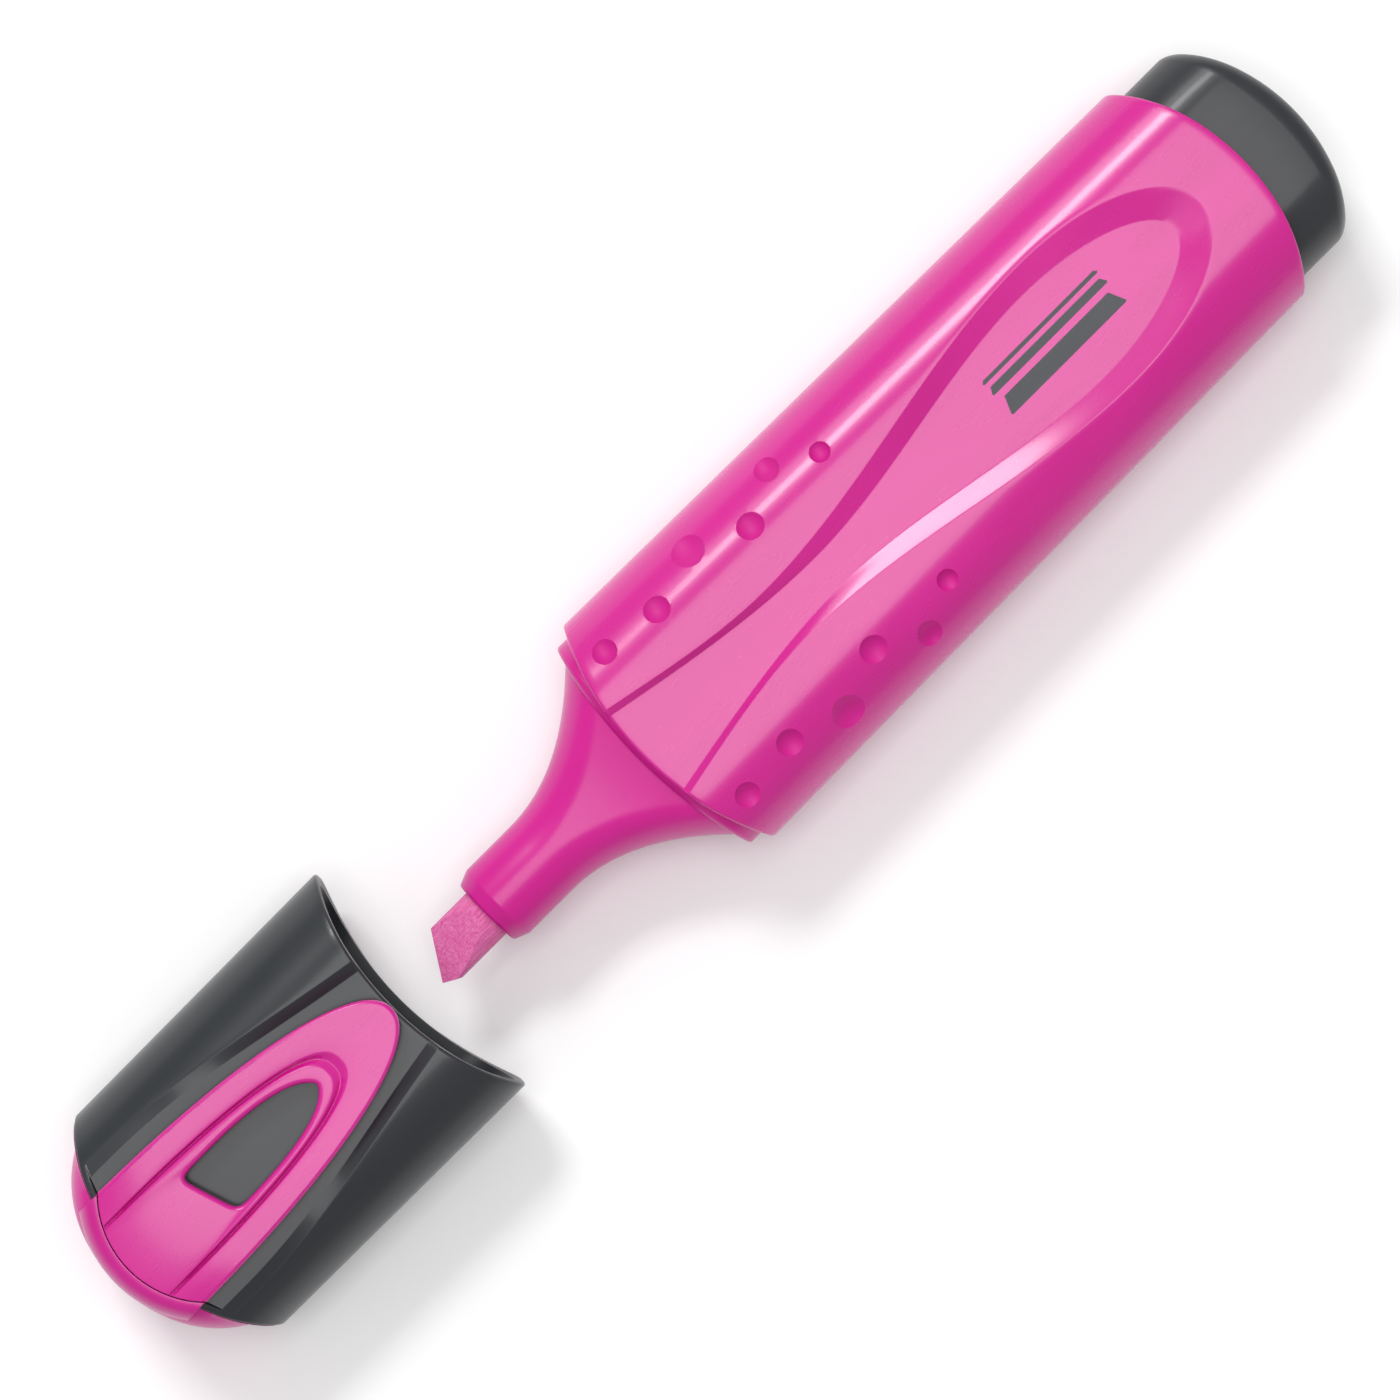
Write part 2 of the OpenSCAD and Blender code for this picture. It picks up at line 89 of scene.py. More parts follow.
def mix(a: float, b: float, t: float) -> float:
    """Straight blend from a to b."""
    return a + (b - a) * t


def clamp(value: float, low: float = 0.0, high: float = 1.0) -> float:
    """The value, kept between low and high."""
    return max(low, min(high, value))


def smooth(low: float, high: float, value: float) -> float:
    """Smooth step from 0 at low to 1 at high."""
    t = clamp((value - low) / (high - low))
    return t * t * (3.0 - 2.0 * t)


def hermite(p0: float, m0: float, p1: float, m1: float, t: float) -> float:
    """Cubic between two values.

    Args:
        p0: the value at t = 0.
        m0: the tangent there.
        p1: the value at t = 1.
        m1: the tangent there.
        t: the place between them, from 0 to 1.

    Returns:
        The value at t.
    """
    return (
        (2 * t**3 - 3 * t * t + 1) * p0
        + (t**3 - 2 * t * t + t) * m0
        + (3 * t * t - 2 * t**3) * p1
        + (t**3 - t * t) * m1
    )


def steps(low: float, high: float, count: int) -> list[float]:
    """Count + 1 evenly spaced values from low to high."""
    return [mix(low, high, i / count) for i in range(count + 1)]


# ---------------------------------------------------------------- shader graphs


@dataclass(frozen=True)
class Link:
    """One output socket, with the operators that shader maths uses."""

    graph: "Graph"
    socket: bpy.types.NodeSocket

    def _sum(self, operation: str, a: "Value", b: "Value") -> "Link":
        """A Math node on two values."""
        return self.graph.add("ShaderNodeMath", {0: a, 1: b}, operation=operation)

    def __add__(self, other: "Value") -> "Link":
        """self + other."""
        return self._sum("ADD", self, other)

    def __radd__(self, other: "Value") -> "Link":
        """other + self."""
        return self._sum("ADD", other, self)

    def __sub__(self, other: "Value") -> "Link":
        """self - other."""
        return self._sum("SUBTRACT", self, other)

    def __rsub__(self, other: "Value") -> "Link":
        """other - self."""
        return self._sum("SUBTRACT", other, self)

    def __mul__(self, other: "Value") -> "Link":
        """self * other."""
        return self._sum("MULTIPLY", self, other)

    def __rmul__(self, other: "Value") -> "Link":
        """other * self."""
        return self._sum("MULTIPLY", other, self)

    def size(self) -> "Link":
        """The value without its sign."""
        return self._sum("ABSOLUTE", self, 0.0)

    def ramp(self, low: float, high: float) -> "Link":
        """A smooth step from 0 at low to 1 at high."""
        return self.graph.add(
            "ShaderNodeMapRange", {0: self, 1: low, 2: high}, interpolation_type="SMOOTHSTEP"
        )

    def tint(self, low: "Colour", high: "Colour") -> "Link":
        """The colour low where self is 0 and high where it is 1."""
        return self.graph.add("ShaderNodeMix", {0: self, 6: low, 7: high}, out=2, data_type="RGBA")

    def stretch(self, factors: Point) -> "Link":
        """A vector multiplied component by component."""
        return self.graph.add("ShaderNodeVectorMath", {0: self, 1: factors}, operation="MULTIPLY")


Value = Union[float, Link]
Colour = Union[Rgba, Link]


class Graph:
    """One material and the nodes in it."""

    def __init__(self, name: str) -> None:
        """Starts an empty node tree.

        Args:
            name: the material's name.
        """
        self.material = bpy.data.materials.new(name)
        self.material.use_nodes = True
        self.tree = self.material.node_tree
        self.tree.nodes.clear()

    def add(
        self, kind: str, inputs: dict[Union[int, str], object], out: Union[int, str] = 0,
        **settings: object,
    ) -> Link:
        """Adds a node.

        Args:
            kind: the node's type.
            inputs: values or links by socket name or number.
            out: the output to hand back.
            settings: the node's own settings, set before its sockets.

        Returns:
            The chosen output.
        """
        node = self.tree.nodes.new(kind)
        for key, value in settings.items():
            setattr(node, key, value)
        for key, value in inputs.items():
            if isinstance(value, Link):
                self.tree.links.new(value.socket, node.inputs[key])
            else:
                node.inputs[key].default_value = value
        return Link(self, node.outputs[out])

    def position(self) -> Link:
        """The point's place on its own piece, in metres."""
        return self.add("ShaderNodeTexCoord", {}, out="Object")

    def parts(self, vector: Link) -> tuple[Link, Link, Link]:
        """Splits a vector.

        Args:
            vector: the vector.

        Returns:
            Its three components.
        """
        first = self.add("ShaderNodeSeparateXYZ", {0: vector})
        outs = first.socket.node.outputs
        return first, Link(self, outs[1]), Link(self, outs[2])

    def noise(self, where: Link, scale: float, detail: float = 2.0, rough: float = 0.5) -> Link:
        """Soft noise between 0 and 1.

        Args:
            where: the place it is read at.
            scale: how many features fit in a metre.
            detail: how many finer layers it has.
            rough: how strong those are.

        Returns:
            The noise.
        """
        return self.add(
            "ShaderNodeTexNoise",
            {"Vector": where, "Scale": scale, "Detail": detail, "Roughness": rough},
        )

    def bump(self, height: Link, strength: float, distance: float) -> Link:
        """A bumped normal.

        Args:
            height: the height over the surface, from 0 to 1.
            strength: how much of the bump shows.
            distance: how high 1 is, in metres.

        Returns:
            The normal.
        """
        return self.add(
            "ShaderNodeBump", {"Height": height, "Strength": strength, "Distance": distance}
        )

    def finish(self, **sockets: object) -> bpy.types.Material:
        """Ends the graph in a Principled shader.

        Args:
            sockets: its inputs, with underscores for spaces.

        Returns:
            The material.
        """
        shader = self.add(
            "ShaderNodeBsdfPrincipled", {k.replace("_", " "): v for k, v in sockets.items()}
        )
        end = self.tree.nodes.new("ShaderNodeOutputMaterial")
        self.tree.links.new(shader.socket, end.inputs["Surface"])
        return self.material


# ---------------------------------------------------------------- finishes


def rgba(red: float, green: float, blue: float) -> Rgba:
    """A linear colour with full cover."""
    return (red, green, blue, 1.0)


@dataclass(frozen=True)
class MouldedPlastic:
    """Injection-moulded plastic: flow marks in its colour, fine texture and handling marks.

    Flow marks, handling and scratches are noises with their own scale along each axis of a piece.
    The parting line is the faint seam that a mould leaves at the pen's mid-height.
    """

    name: str
    colour: Rgba
    flow: Rgba
    shine: Rgba
    roughness: float
    coat: float = 0.2
    coat_roughness: float = 0.12
    grain: float = 0.000005
    specular: float = 0.45
    scatter: float = 0.0
    scatter_depth: float = 0.002
    parting: float = 0.0
    parting_height: float = 0.008
    parting_edge: Flat = (0.00004, 0.00012)
    flow_marks: Point = (40.0, 160.0, 160.0)
    handling: Point = (150.0, 420.0, 420.0)
    scratches: Point = (380.0, 9000.0, 9000.0)

    def build(self) -> bpy.types.Material:
        """Makes the material.

        Returns:
            The material.
        """
        g = Graph(self.name)
        where = g.position()
        flow = g.noise(where.stretch(self.flow_marks), 1.0, 3.0, 0.55).ramp(0.35, 0.7)
        speck = g.noise(where, 5200.0, 2.0, 0.6)
        rubbed = g.noise(where.stretch(self.handling), 1.0, 4.0, 0.62)
        scuffs = g.noise(where.stretch(self.scratches), 1.0, 2.0, 0.5).ramp(0.66, 0.8)
        worn = rubbed.ramp(0.58, 0.78) * scuffs
        base = (worn * 0.07).tint(flow.tint(self.colour, self.flow), self.shine)
        rough = self.roughness + (rubbed - 0.5) * 0.05 + worn * 0.05
        height = speck * 0.7 + g.noise(where, 900.0, 2.0, 0.5) * 0.5
        if self.parting:
            aside = (g.parts(where)[2] - self.parting_height).size()
            height = height + (1.0 - aside.ramp(*self.parting_edge)) * self.parting
        return g.finish(
            Base_Color=base,
            Roughness=rough,
            Coat_Weight=self.coat * (1.0 - worn * 0.7),
            Coat_Roughness=self.coat_roughness,
            IOR=1.5,
            Specular_IOR_Level=self.specular,
            Subsurface_Weight=self.scatter,
            Subsurface_Scale=self.scatter_depth,
            Normal=g.bump(height, 0.35, self.grain),
        )


@dataclass(frozen=True)
class InkedFelt:
    """Felt or bundled fibre, soaked with ink: darker in soaked patches from the ink, and darker
    between its fibres from painted shade in the hollows.
    """

    name: str
    colour: Rgba
    gap_shade_and_soak: Rgba
    roughness: float = 0.85
    nap: float = 0.00006
    fibres: Point = (700.0, 7000.0, 7000.0)

    def build(self) -> bpy.types.Material:
        """Makes the material.

        Returns:
            The material.
        """
        g = Graph(self.name)
        where = g.position()
        fibre = g.noise(where.stretch(self.fibres), 1.0, 3.0, 0.6)
        fleck = g.noise(where, 9000.0, 2.0, 0.7)
        soak = g.noise(where, 700.0, 3.0, 0.5).ramp(0.3, 0.75)
        # Painted shade: where this fibre mask is low, the hollows between fibres take the darker
        # colour. The soaked patches take the same colour as ink.
        shade = (fibre * 0.65 + fleck * 0.35).ramp(0.36, 0.62)
        base = (soak * 0.25).tint(shade.tint(self.gap_shade_and_soak, self.colour), self.gap_shade_and_soak)
        return g.finish(
            Base_Color=base,
            Roughness=self.roughness - shade * 0.12,
            Sheen_Weight=0.15,
            Specular_IOR_Level=0.25,
            Normal=g.bump(fibre * 0.6 + fleck, 0.7, self.nap),
        )


@dataclass(frozen=True)
class StudioFloor:
    """Plain pale board with a faint mottle."""

    name: str = "floor_board"

    def build(self) -> bpy.types.Material:
        """Makes the material.

        Returns:
            The material.
        """
        g = Graph(self.name)
        mottle = g.noise(g.position(), 60.0, 3.0, 0.5)
        return g.finish(
            Base_Color=mottle.tint(rgba(0.93, 0.93, 0.93), rgba(0.95, 0.95, 0.95)),
            Roughness=0.7,
            Specular_IOR_Level=0.2,
        )


class Finish(Enum):
    """The pen's finishes."""

    BARREL = MouldedPlastic(
        "barrel_pink", rgba(0.57, 0.006, 0.245), rgba(0.61, 0.009, 0.265), rgba(0.8, 0.25, 0.5), 0.27,
        scatter=0.05, parting=5.0,
    )
    INK = MouldedPlastic(
        "print_ink", rgba(0.042, 0.044, 0.05), rgba(0.06, 0.062, 0.07),
        rgba(0.2, 0.12, 0.16), 0.42, coat=0.0, grain=0.000006, specular=0.35,
    )
    # The dimples' finish is a matte grip texture. Its slightly darker copy of the barrel's pink is
    # painted shade in the recesses.
    GRIP = MouldedPlastic(
        "grip_dimple_shaded", rgba(0.55, 0.005, 0.235), rgba(0.59, 0.008, 0.255),
        rgba(0.7, 0.1, 0.4), 0.55, coat=0.0, grain=0.00005, specular=0.35,
    )
    HOLDER = MouldedPlastic(
        "holder_magenta", rgba(0.55, 0.005, 0.235), rgba(0.59, 0.008, 0.255),
        rgba(0.8, 0.25, 0.5), 0.3, coat=0.1, specular=0.36,
    )
    CAP_END = MouldedPlastic(
        "cap_end_magenta", rgba(0.52, 0.004, 0.225), rgba(0.56, 0.007, 0.25),
        rgba(0.8, 0.25, 0.5), 0.34,
    )
    CLIP = MouldedPlastic(
        "clip_pink", rgba(0.56, 0.006, 0.245), rgba(0.6, 0.009, 0.265), rgba(0.8, 0.25, 0.5), 0.27
    )
    SHELL = MouldedPlastic(
        "cap_graphite", rgba(0.019, 0.022, 0.026), rgba(0.024, 0.027, 0.031),
        rgba(0.12, 0.125, 0.13), 0.32, coat=0.1, specular=0.36,
        parting=5.0,
    )
    PLUG = MouldedPlastic(
        "plug_graphite", rgba(0.024, 0.026, 0.03), rgba(0.03, 0.032, 0.036),
        rgba(0.12, 0.125, 0.13), 0.34, coat=0.1, specular=0.34,
    )
    LINER = MouldedPlastic(
        "liner_natural", rgba(0.6, 0.6, 0.58), rgba(0.68, 0.68, 0.66), rgba(0.8, 0.8, 0.8), 0.45,
        coat=0.0, scatter=0.2,
    )
    TUBE = MouldedPlastic(
        "tube_natural", rgba(0.75, 0.75, 0.72), rgba(0.8, 0.8, 0.78), rgba(0.9, 0.9, 0.9), 0.35
    )
    FILM = MouldedPlastic(
        "film_clear", rgba(0.8, 0.62, 0.7), rgba(0.86, 0.72, 0.78), rgba(0.95, 0.95, 0.95), 0.22
    )
    NIB = InkedFelt("nib_felt", rgba(0.76, 0.2, 0.44), rgba(0.6, 0.07, 0.28))
    FIBRE = InkedFelt("reservoir_fibre", rgba(0.8, 0.25, 0.48), rgba(0.6, 0.09, 0.3))

    def material(self) -> bpy.types.Material:
        """The finish's material, made once."""
        made = bpy.data.materials.get(self.value.name)
        return made or self.value.build()


# ---------------------------------------------------------------- meshes


@dataclass(frozen=True)
class Axis:
    """Where the pen's own axis lies: the place of the barrel's front corners."""

    x: float
    z: float

    def at(self, point: Point) -> Vector:
        """A point given along, across and above the axis in millimetres, in the frame."""
        return Vector((self.x + point[0] * MM, point[1] * MM, self.z + point[2] * MM))


class Body(Enum):
    """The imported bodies."""

    PEN = "pen"
    CAP = "cap"
    CLIP = "clip"


@dataclass
class Loft:
    """A skin through rings of equally many points, in the pen's own millimetres."""

    rings: list[Ring] = field(default_factory=list)

    def add(self, ring: Iterable[Point]) -> None:
        """Adds a ring after the last one."""
        self.rings.append(list(ring))

    def mesh(self, bm: bmesh.types.BMesh, axis: Axis, looped: bool, ends: bool = False) -> None:
        """Adds the skin to a mesh.

        Args:
            bm: the mesh.
            axis: the pen's axis.
            looped: whether the last ring joins the first.
            ends: whether the end rings are closed with a face.
        """
        rows = [[bm.verts.new(axis.at(p)) for p in ring] for ring in self.rings]
        count = len(rows[0])
        pairs = list(zip(rows, rows[1:])) + ([(rows[-1], rows[0])] if looped else [])
        for low, high in pairs:
            for i in range(count):
                j = (i + 1) % count
                bm.faces.new((low[i], low[j], high[j], high[i]))
        if ends:
            bm.faces.new(rows[0])
            bm.faces.new(list(reversed(rows[-1])))


def tidy(bm: bmesh.types.BMesh, gap: float = 2e-7) -> None:
    """Joins points that coincide, drops what has no area and turns the faces outward.

    Args:
        bm: the mesh.
        gap: how near two points coincide, in metres.
    """
    bmesh.ops.remove_doubles(bm, verts=bm.verts[:], dist=gap)
    bmesh.ops.dissolve_degenerate(bm, edges=bm.edges[:], dist=gap)
    bmesh.ops.recalc_face_normals(bm, faces=bm.faces[:])


def skinned(loft: Loft, axis: Axis, looped: bool) -> bmesh.types.BMesh:
    """Makes a clean mesh of one loft.

    Args:
        loft: the loft.
        axis: the pen's axis.
        looped: whether its last ring joins the first.

    Returns:
        The mesh.
    """
    bm = bmesh.new()
    loft.mesh(bm, axis, looped)
    tidy(bm)
    return bm


def to_object(bm: bmesh.types.BMesh, name: str, sharp: float) -> bpy.types.Object:
    """Turns a mesh into an object with smooth faces.

    Args:
        bm: the mesh, freed here.
        name: the object's name.
        sharp: the angle in degrees from which an edge stays sharp.

    Returns:
        The object.
    """
    data = bpy.data.meshes.new(name)
    bm.to_mesh(data)
    bm.free()
    data.shade_smooth()
    data.set_sharp_from_angle(angle=math.radians(sharp))
    piece = bpy.data.objects.new(name, data)
    bpy.context.scene.collection.objects.link(piece)
    return piece


def carve(piece: bpy.types.Object, cutter: bpy.types.Object, sharp: float) -> None:
    """Cuts one object out of another for good, and removes the cutter.

    Args:
        piece: the object that is cut.
        cutter: the object that cuts.
        sharp: the angle in degrees from which an edge stays sharp.
    """
    cut = piece.modifiers.new("carve", "BOOLEAN")
    cut.operation = "DIFFERENCE"
    cut.solver = "EXACT"
    cut.material_mode = "TRANSFER"
    cut.object = cutter
    bpy.context.view_layer.update()
    graph = bpy.context.evaluated_depsgraph_get()
    data = bpy.data.meshes.new_from_object(piece.evaluated_get(graph))
    piece.modifiers.clear()
    piece.data = data
    data.shade_smooth()
    data.set_sharp_from_angle(angle=math.radians(sharp))
    bpy.data.objects.remove(cutter)


def wear(piece: bpy.types.Object, finish: Finish, body: Body, slot: str, *nodes: str) -> None:
    """Dresses a piece, ties it to its body and lets it stand for CAD nodes.

    Args:
        piece: the piece.
        finish: its finish.
        body: the body it rides on.
        slot: the record's material slot; not used.
        nodes: the CAD nodes it replaces.
    """
    if not piece.data.materials:
        piece.data.materials.append(finish.material())
    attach(piece, body.value)
    if nodes:
        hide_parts(*nodes)
    LOG.info("%s: %d faces, on %s", piece.name, len(piece.data.polygons), body.value)


# ---------------------------------------------------------------- shapes


@dataclass(frozen=True)
class FlatBar:
    """A flat bar with round sides along the pen, in millimetres."""

    half_w: float
    half_t: float
    slope: float = 0.0
    start: float = 0.0

    def width(self, s: float) -> float:
        """Half the bar's width at s."""
        return self.half_w + self.slope * (s - self.start)

    def top(self, s: float, y: float) -> float:
        """Height of the upper surface."""
        over = abs(y) - (self.width(s) - self.half_t)
        return self.half_t if over <= 0 else math.sqrt(max(self.half_t**2 - over**2, 0.0))

    def along(self, s: float, y0: float, share: float) -> Flat:
        """A point on the way round from the face to the side's middle.

        Args:
            s: the place along the bar.
            y0: where the way starts on the face.
            share: how far round the point lies, from 0 to 1.

        Returns:
            The point across and above the axis.
        """
        core = self.width(s) - self.half_t
        flat = max(core - y0, 0.0)
        lean = math.asin(clamp((y0 - core) / self.half_t))
        run = share * (flat + self.half_t * (math.pi / 2 - lean))
        if run <= flat:
            return y0 + run, self.half_t
        angle = lean + (run - flat) / self.half_t
        return core + self.half_t * math.sin(angle), self.half_t * math.cos(angle)

    def inset(self, by: float) -> "FlatBar":
        """The same bar, smaller all round."""
        return FlatBar(self.half_w - by, self.half_t - by, self.slope, self.start)


@dataclass(frozen=True)
class Arc:
    """An edge that is an arc in plan: its centre, radius and side (-1 towards the cap)."""

    centre: float
    radius: float
    side: int

    def at(self, y: float) -> float:
        """The edge's place at y."""
        return self.centre + self.side * math.sqrt(max(self.radius**2 - y * y, 0.0))


# What fits in the barrel's ends, the shell's closed end, and the seam between clip and root.
PLUG_FIT = FlatBar(12.87, 6.32, PEN_TAPER)
SHELL_END = Arc(-46.4, 23.1, -1)
CLIP_SEAM = Arc(-60.15, 10.1, -1)


@dataclass(frozen=True)
class BarrelPanel:
    """The sunk panel of the barrel, from its floor (share 0) to its brim (share 1)."""

    crown: float = -3.23
    lead: float = 0.6
    widths: tuple[Point, Point] = ((5.0, 1.72, 5.27), (5.75, 2.93, 7.7))
    places: tuple[Point, Point] = ((21.5, 51.5, 66.1), (15.5, 54.0, 69.9))
    slope: float = -0.19
    depths: Flat = (0.5, 0.9)

    def place(self, which: int, share: float) -> float:
        """Where the waist (0), the loop's middle (1) or its end (2) lies."""
        return mix(self.places[0][which], self.places[1][which], share)

    def first(self, s: float) -> float:
        """The lowest share whose outline still reaches s."""
        low, high = self.place(2, 0.0), self.place(2, 1.0)
        return clamp((s - low) / (high - low))

    def half(self, s: float, share: float) -> float:
        """Half the outline's width.

        Args:
            s: the place along the pen.
            share: the outline, from the floor's (0) to the brim's (1).

        Returns:
            The half width at s.
        """
        w = [mix(a, b, share) for a, b in zip(*self.widths)]
        waist, middle, end = (self.place(i, share) for i in range(3))
        start = self.crown - self.lead
        if s < start:
            return w[0] + self.slope * (s - start)
        if s < waist:
            t = (s - start) / (waist - start)
            return hermite(w[0], self.slope * (waist - start), w[1], 0.0, t)
        if s < middle:
            return hermite(w[1], 0.0, w[2], 0.0, (s - waist) / (middle - waist))
        return w[2] * math.sqrt(max(1.0 - ((s - middle) / (end - middle)) ** 2, 0.0))

    def depth(self, s: float) -> float:
        """How deep the floor lies."""
        return mix(*self.depths, (s - self.crown) / (self.place(2, 0.0) - self.crown))

    def shut(self, s: float, y: float) -> float:
        """How far the panel has risen again: its wall does that here."""
        return 0.0


@dataclass(frozen=True)
class CapPanel:
    """The sunk panel of the cap, which widens from the rim and runs out at the closed end."""

    rim: float
    crown: float = -3.23
    widths: Flat = (5.8, 9.8)
    slope: float = 0.16
    brim: float = 1.2
    run: float = 28.0
    sunk: float = 0.6
    rear: Arc = SHELL_END
    rail: Flat = (0.68, 0.86)

    def first(self, s: float) -> float:
        """The lowest share whose outline still reaches s."""
        return 0.0

    def half(self, s: float, share: float) -> float:
        """Half the outline's width.

        Args:
            s: the place along the pen.
            share: the outline, from the floor's (0) to the brim's (1).

        Returns:
            The half width at s.
        """
        start = self.rim + self.crown
        t = (start - s) / self.run
        if t < 0:
            wide = self.widths[0] + self.slope * self.run * t
        else:
            wide = hermite(self.widths[0], self.slope * self.run, self.widths[1], 0.0, min(t, 1.0))
        return wide - self.brim * (1.0 - share)

    def depth(self, s: float) -> float:
        """How deep the floor lies."""
        return self.sunk

    def shut(self, s: float, y: float) -> float:
        """How far the panel has risen into the narrow rail at the closed end."""
        return 1.0 - smooth(*self.rail, s - self.rear.at(y))


class Column(Enum):
    """The stretches of a face, from its middle to the side."""

    FLOOR = 0
    WALL = 1
    SIDE = 2


@dataclass(frozen=True)
class ReliefSkin:
    """Rings round a flat bar with the same sunk panel on both faces."""

    bar: FlatBar
    panel: Union[BarrelPanel, CapPanel]
    floor_cells: int = 6
    side_cells: int = 22
    fillet: float = 0.08
    passes: int = 7

    def columns(self) -> list[tuple[Column, float]]:
        """The columns from the middle to the side.

        Returns:
            Each column's stretch and its share of it.
        """
        f = self.fillet
        walls = [0.0, f * 0.35, f * 0.7, f, 0.35, 0.5, 0.65, 1 - f, 1 - f * 0.7, 1 - f * 0.35, 1.0]
        return (
            [(Column.FLOOR, t) for t in steps(0.0, 1.0, self.floor_cells)[:-1]]
            + [(Column.WALL, t) for t in walls]
            + [(Column.SIDE, t) for t in steps(0.0, 1.0, self.side_cells)[1:]]
        )

    def rise(self, share: float) -> float:
        """Height of the sloping wall, with rounded foot and brim.

        Args:
            share: the place on the wall, from its foot (0) to its brim (1).

        Returns:
            The height, from 0 to 1.
        """
        f = self.fillet
        whole = 1.0 - f
        if share < f:
            return share * share / (2 * f * whole)
        if share > 1 - f:
            return 1.0 - (1 - share) ** 2 / (2 * f * whole)
        return (share - f / 2) / whole

    def quarter(self, row: Row) -> Ring:
        """The points from the middle of the upper face to the middle of the side.

        Args:
            row: gives the place along the pen at a distance off the centreline.

        Returns:
            The points.
        """
        out = []
        for kind, share in self.columns():
            y, z, s = 0.0, 0.0, row(0.0)
            for _ in range(self.passes):
                first = self.panel.first(s)
                brim = self.panel.half(s, 1.0)
                if kind is Column.SIDE:
                    y, z = self.bar.along(s, brim, share)
                else:
                    lift = mix(first, 1.0, share) if kind is Column.WALL else first
                    y = self.panel.half(s, lift) * (1.0 if kind is Column.WALL else share)
                    floor_z = self.bar.half_t - self.panel.depth(s)
                    z = mix(floor_z, self.bar.top(s, brim), self.rise(lift))
                    z = mix(z, self.bar.top(s, y), self.panel.shut(s, y))
                s = row(y)
            out.append((s, y, z))
        return out

    def ring(self, row: Row) -> Ring:
        """The whole ring of a row."""
        return around(self.quarter(row))


def around(quarter: Ring) -> Ring:
    """Mirrors a quarter into a whole ring.

    Args:
        quarter: the upper quarter, from the middle to the side.

    Returns:
        The ring.
    """
    back = quarter[::-1]
    low = [(s, y, -z) for s, y, z in quarter]
    return (
        quarter
        + low[::-1][1:]
        + [(s, -y, z) for s, y, z in low[1:]]
        + [(s, -y, z) for s, y, z in back[1:-1]]
    )


def shrunk(outer: Ring, inner: Ring, by: float, along: float) -> Ring:
    """Moves a ring inwards.

    Args:
        outer: the ring.
        inner: the ring that it moves towards.
        by: how far, in millimetres.
        along: how far it also moves along the pen.

    Returns:
        The moved ring.
    """
    out = []
    for (s, y, z), (_, p, q) in zip(outer, inner):
        gap = math.hypot(p - y, q - z) or 1.0
        t = by / gap
        out.append((s + along, mix(y, p, t), mix(z, q, t)))
    return out


def inner_ring(outer: Ring, bar: FlatBar, wide: FlatBar, row: Row) -> Ring:
    """The ring of a hollow's wall behind an outer ring.

    Args:
        outer: the outer ring.
        bar: the hollow's bar.
        wide: the outside's bar.
        row: gives the place along the pen at a distance off the centreline.

    Returns:
        A point behind each point of the outer ring.
    """
    out = []
    for s, y, z in outer:
        inside = y * bar.width(s) / wide.width(s)
        high = bar.top(s, inside)
        out.append((row(inside), inside, high if z > 1e-6 else -high if z < -1e-6 else 0.0))
    return out


def rim_rings(ring: Ring, wall: Ring, edge: float, way: int, land: float) -> list[Ring]:
    """The rounded rim between an outside and a hollow's wall.

    Args:
        ring: the outside's last ring.
        wall: the wall's ring at the rim.
        edge: the rounding's radius.
        way: the rim's side along the pen, 1 or -1.
        land: the flat beside the rounding.

    Returns:
        The rings, which end with the wall's.
    """
    out = []
    for turn in RIM_TURNS:
        a = math.radians(turn)
        out.append(shrunk(ring, wall, edge * (1 - math.cos(a)), way * edge * math.sin(a)))
    return out + [shrunk(out[-1], wall, land, 0.0), wall]


def bar_quarter(bar: FlatBar, row: Row, cells: int = 14) -> Ring:
    """The upper quarter of a plain flat bar's ring.

    Args:
        bar: the bar.
        row: gives the place along the pen at a distance off the centreline.
        cells: how many cells the flat part has.

    Returns:
        The points from the middle of the face to the middle of the side.
    """
    out = []
    core = max(bar.width(row(0.0)) - bar.half_t, 0.0)
    for t in steps(0.0, 1.0, cells):
        y = core * t
        out.append((row(y), y, bar.half_t))
    for t in steps(0.0, 90.0, cells * 2)[1:]:
        angle = math.radians(t)
        y = core + bar.half_t * math.sin(angle)
        out.append((row(y), y, bar.half_t * math.cos(angle)))
    return out


@dataclass
class EndPiece:
    """Rings of a flat bar that ends in an arc in plan with a rounded edge."""

    bar: FlatBar
    arc: Arc
    rounding: float
    corner: float = 1.0
    cells: int = 14

    def rings(self, count: int = 9) -> list[Ring]:
        """The rings of the rounded edge, from the side to the end face.

        Args:
            count: how many rings.

        Returns:
            The rings.
        """
        out = []
        for turn in steps(0.0, 90.0, count):
            a = math.radians(turn)
            drop = self.rounding * (1 - math.cos(a))
            bar = FlatBar(
                self.bar.half_w - drop * self.corner, self.bar.half_t - drop,
                self.bar.slope, self.bar.start,
            )
            back = self.rounding * (1 - math.sin(a)) * self.arc.side

            def row(y: float, back: float = back) -> float:
                """The place along the pen, drawn back less towards the sides."""
                share = (y / self.bar.half_w) ** 2
                return self.arc.at(y) - back * mix(1.0, self.corner, share)

            out.append(around(bar_quarter(bar, row, self.cells)))
        return out

    def close(self, loft: Loft) -> None:
        """Adds the end face as rings that flatten towards its middle line.

        Args:
            loft: the loft that ends in this piece's rings.
        """
        last = loft.rings[-1]
        for share in CLOSING:
            loft.add([(s, y, z * share) for s, y, z in last])


# ---------------------------------------------------------------- the pen


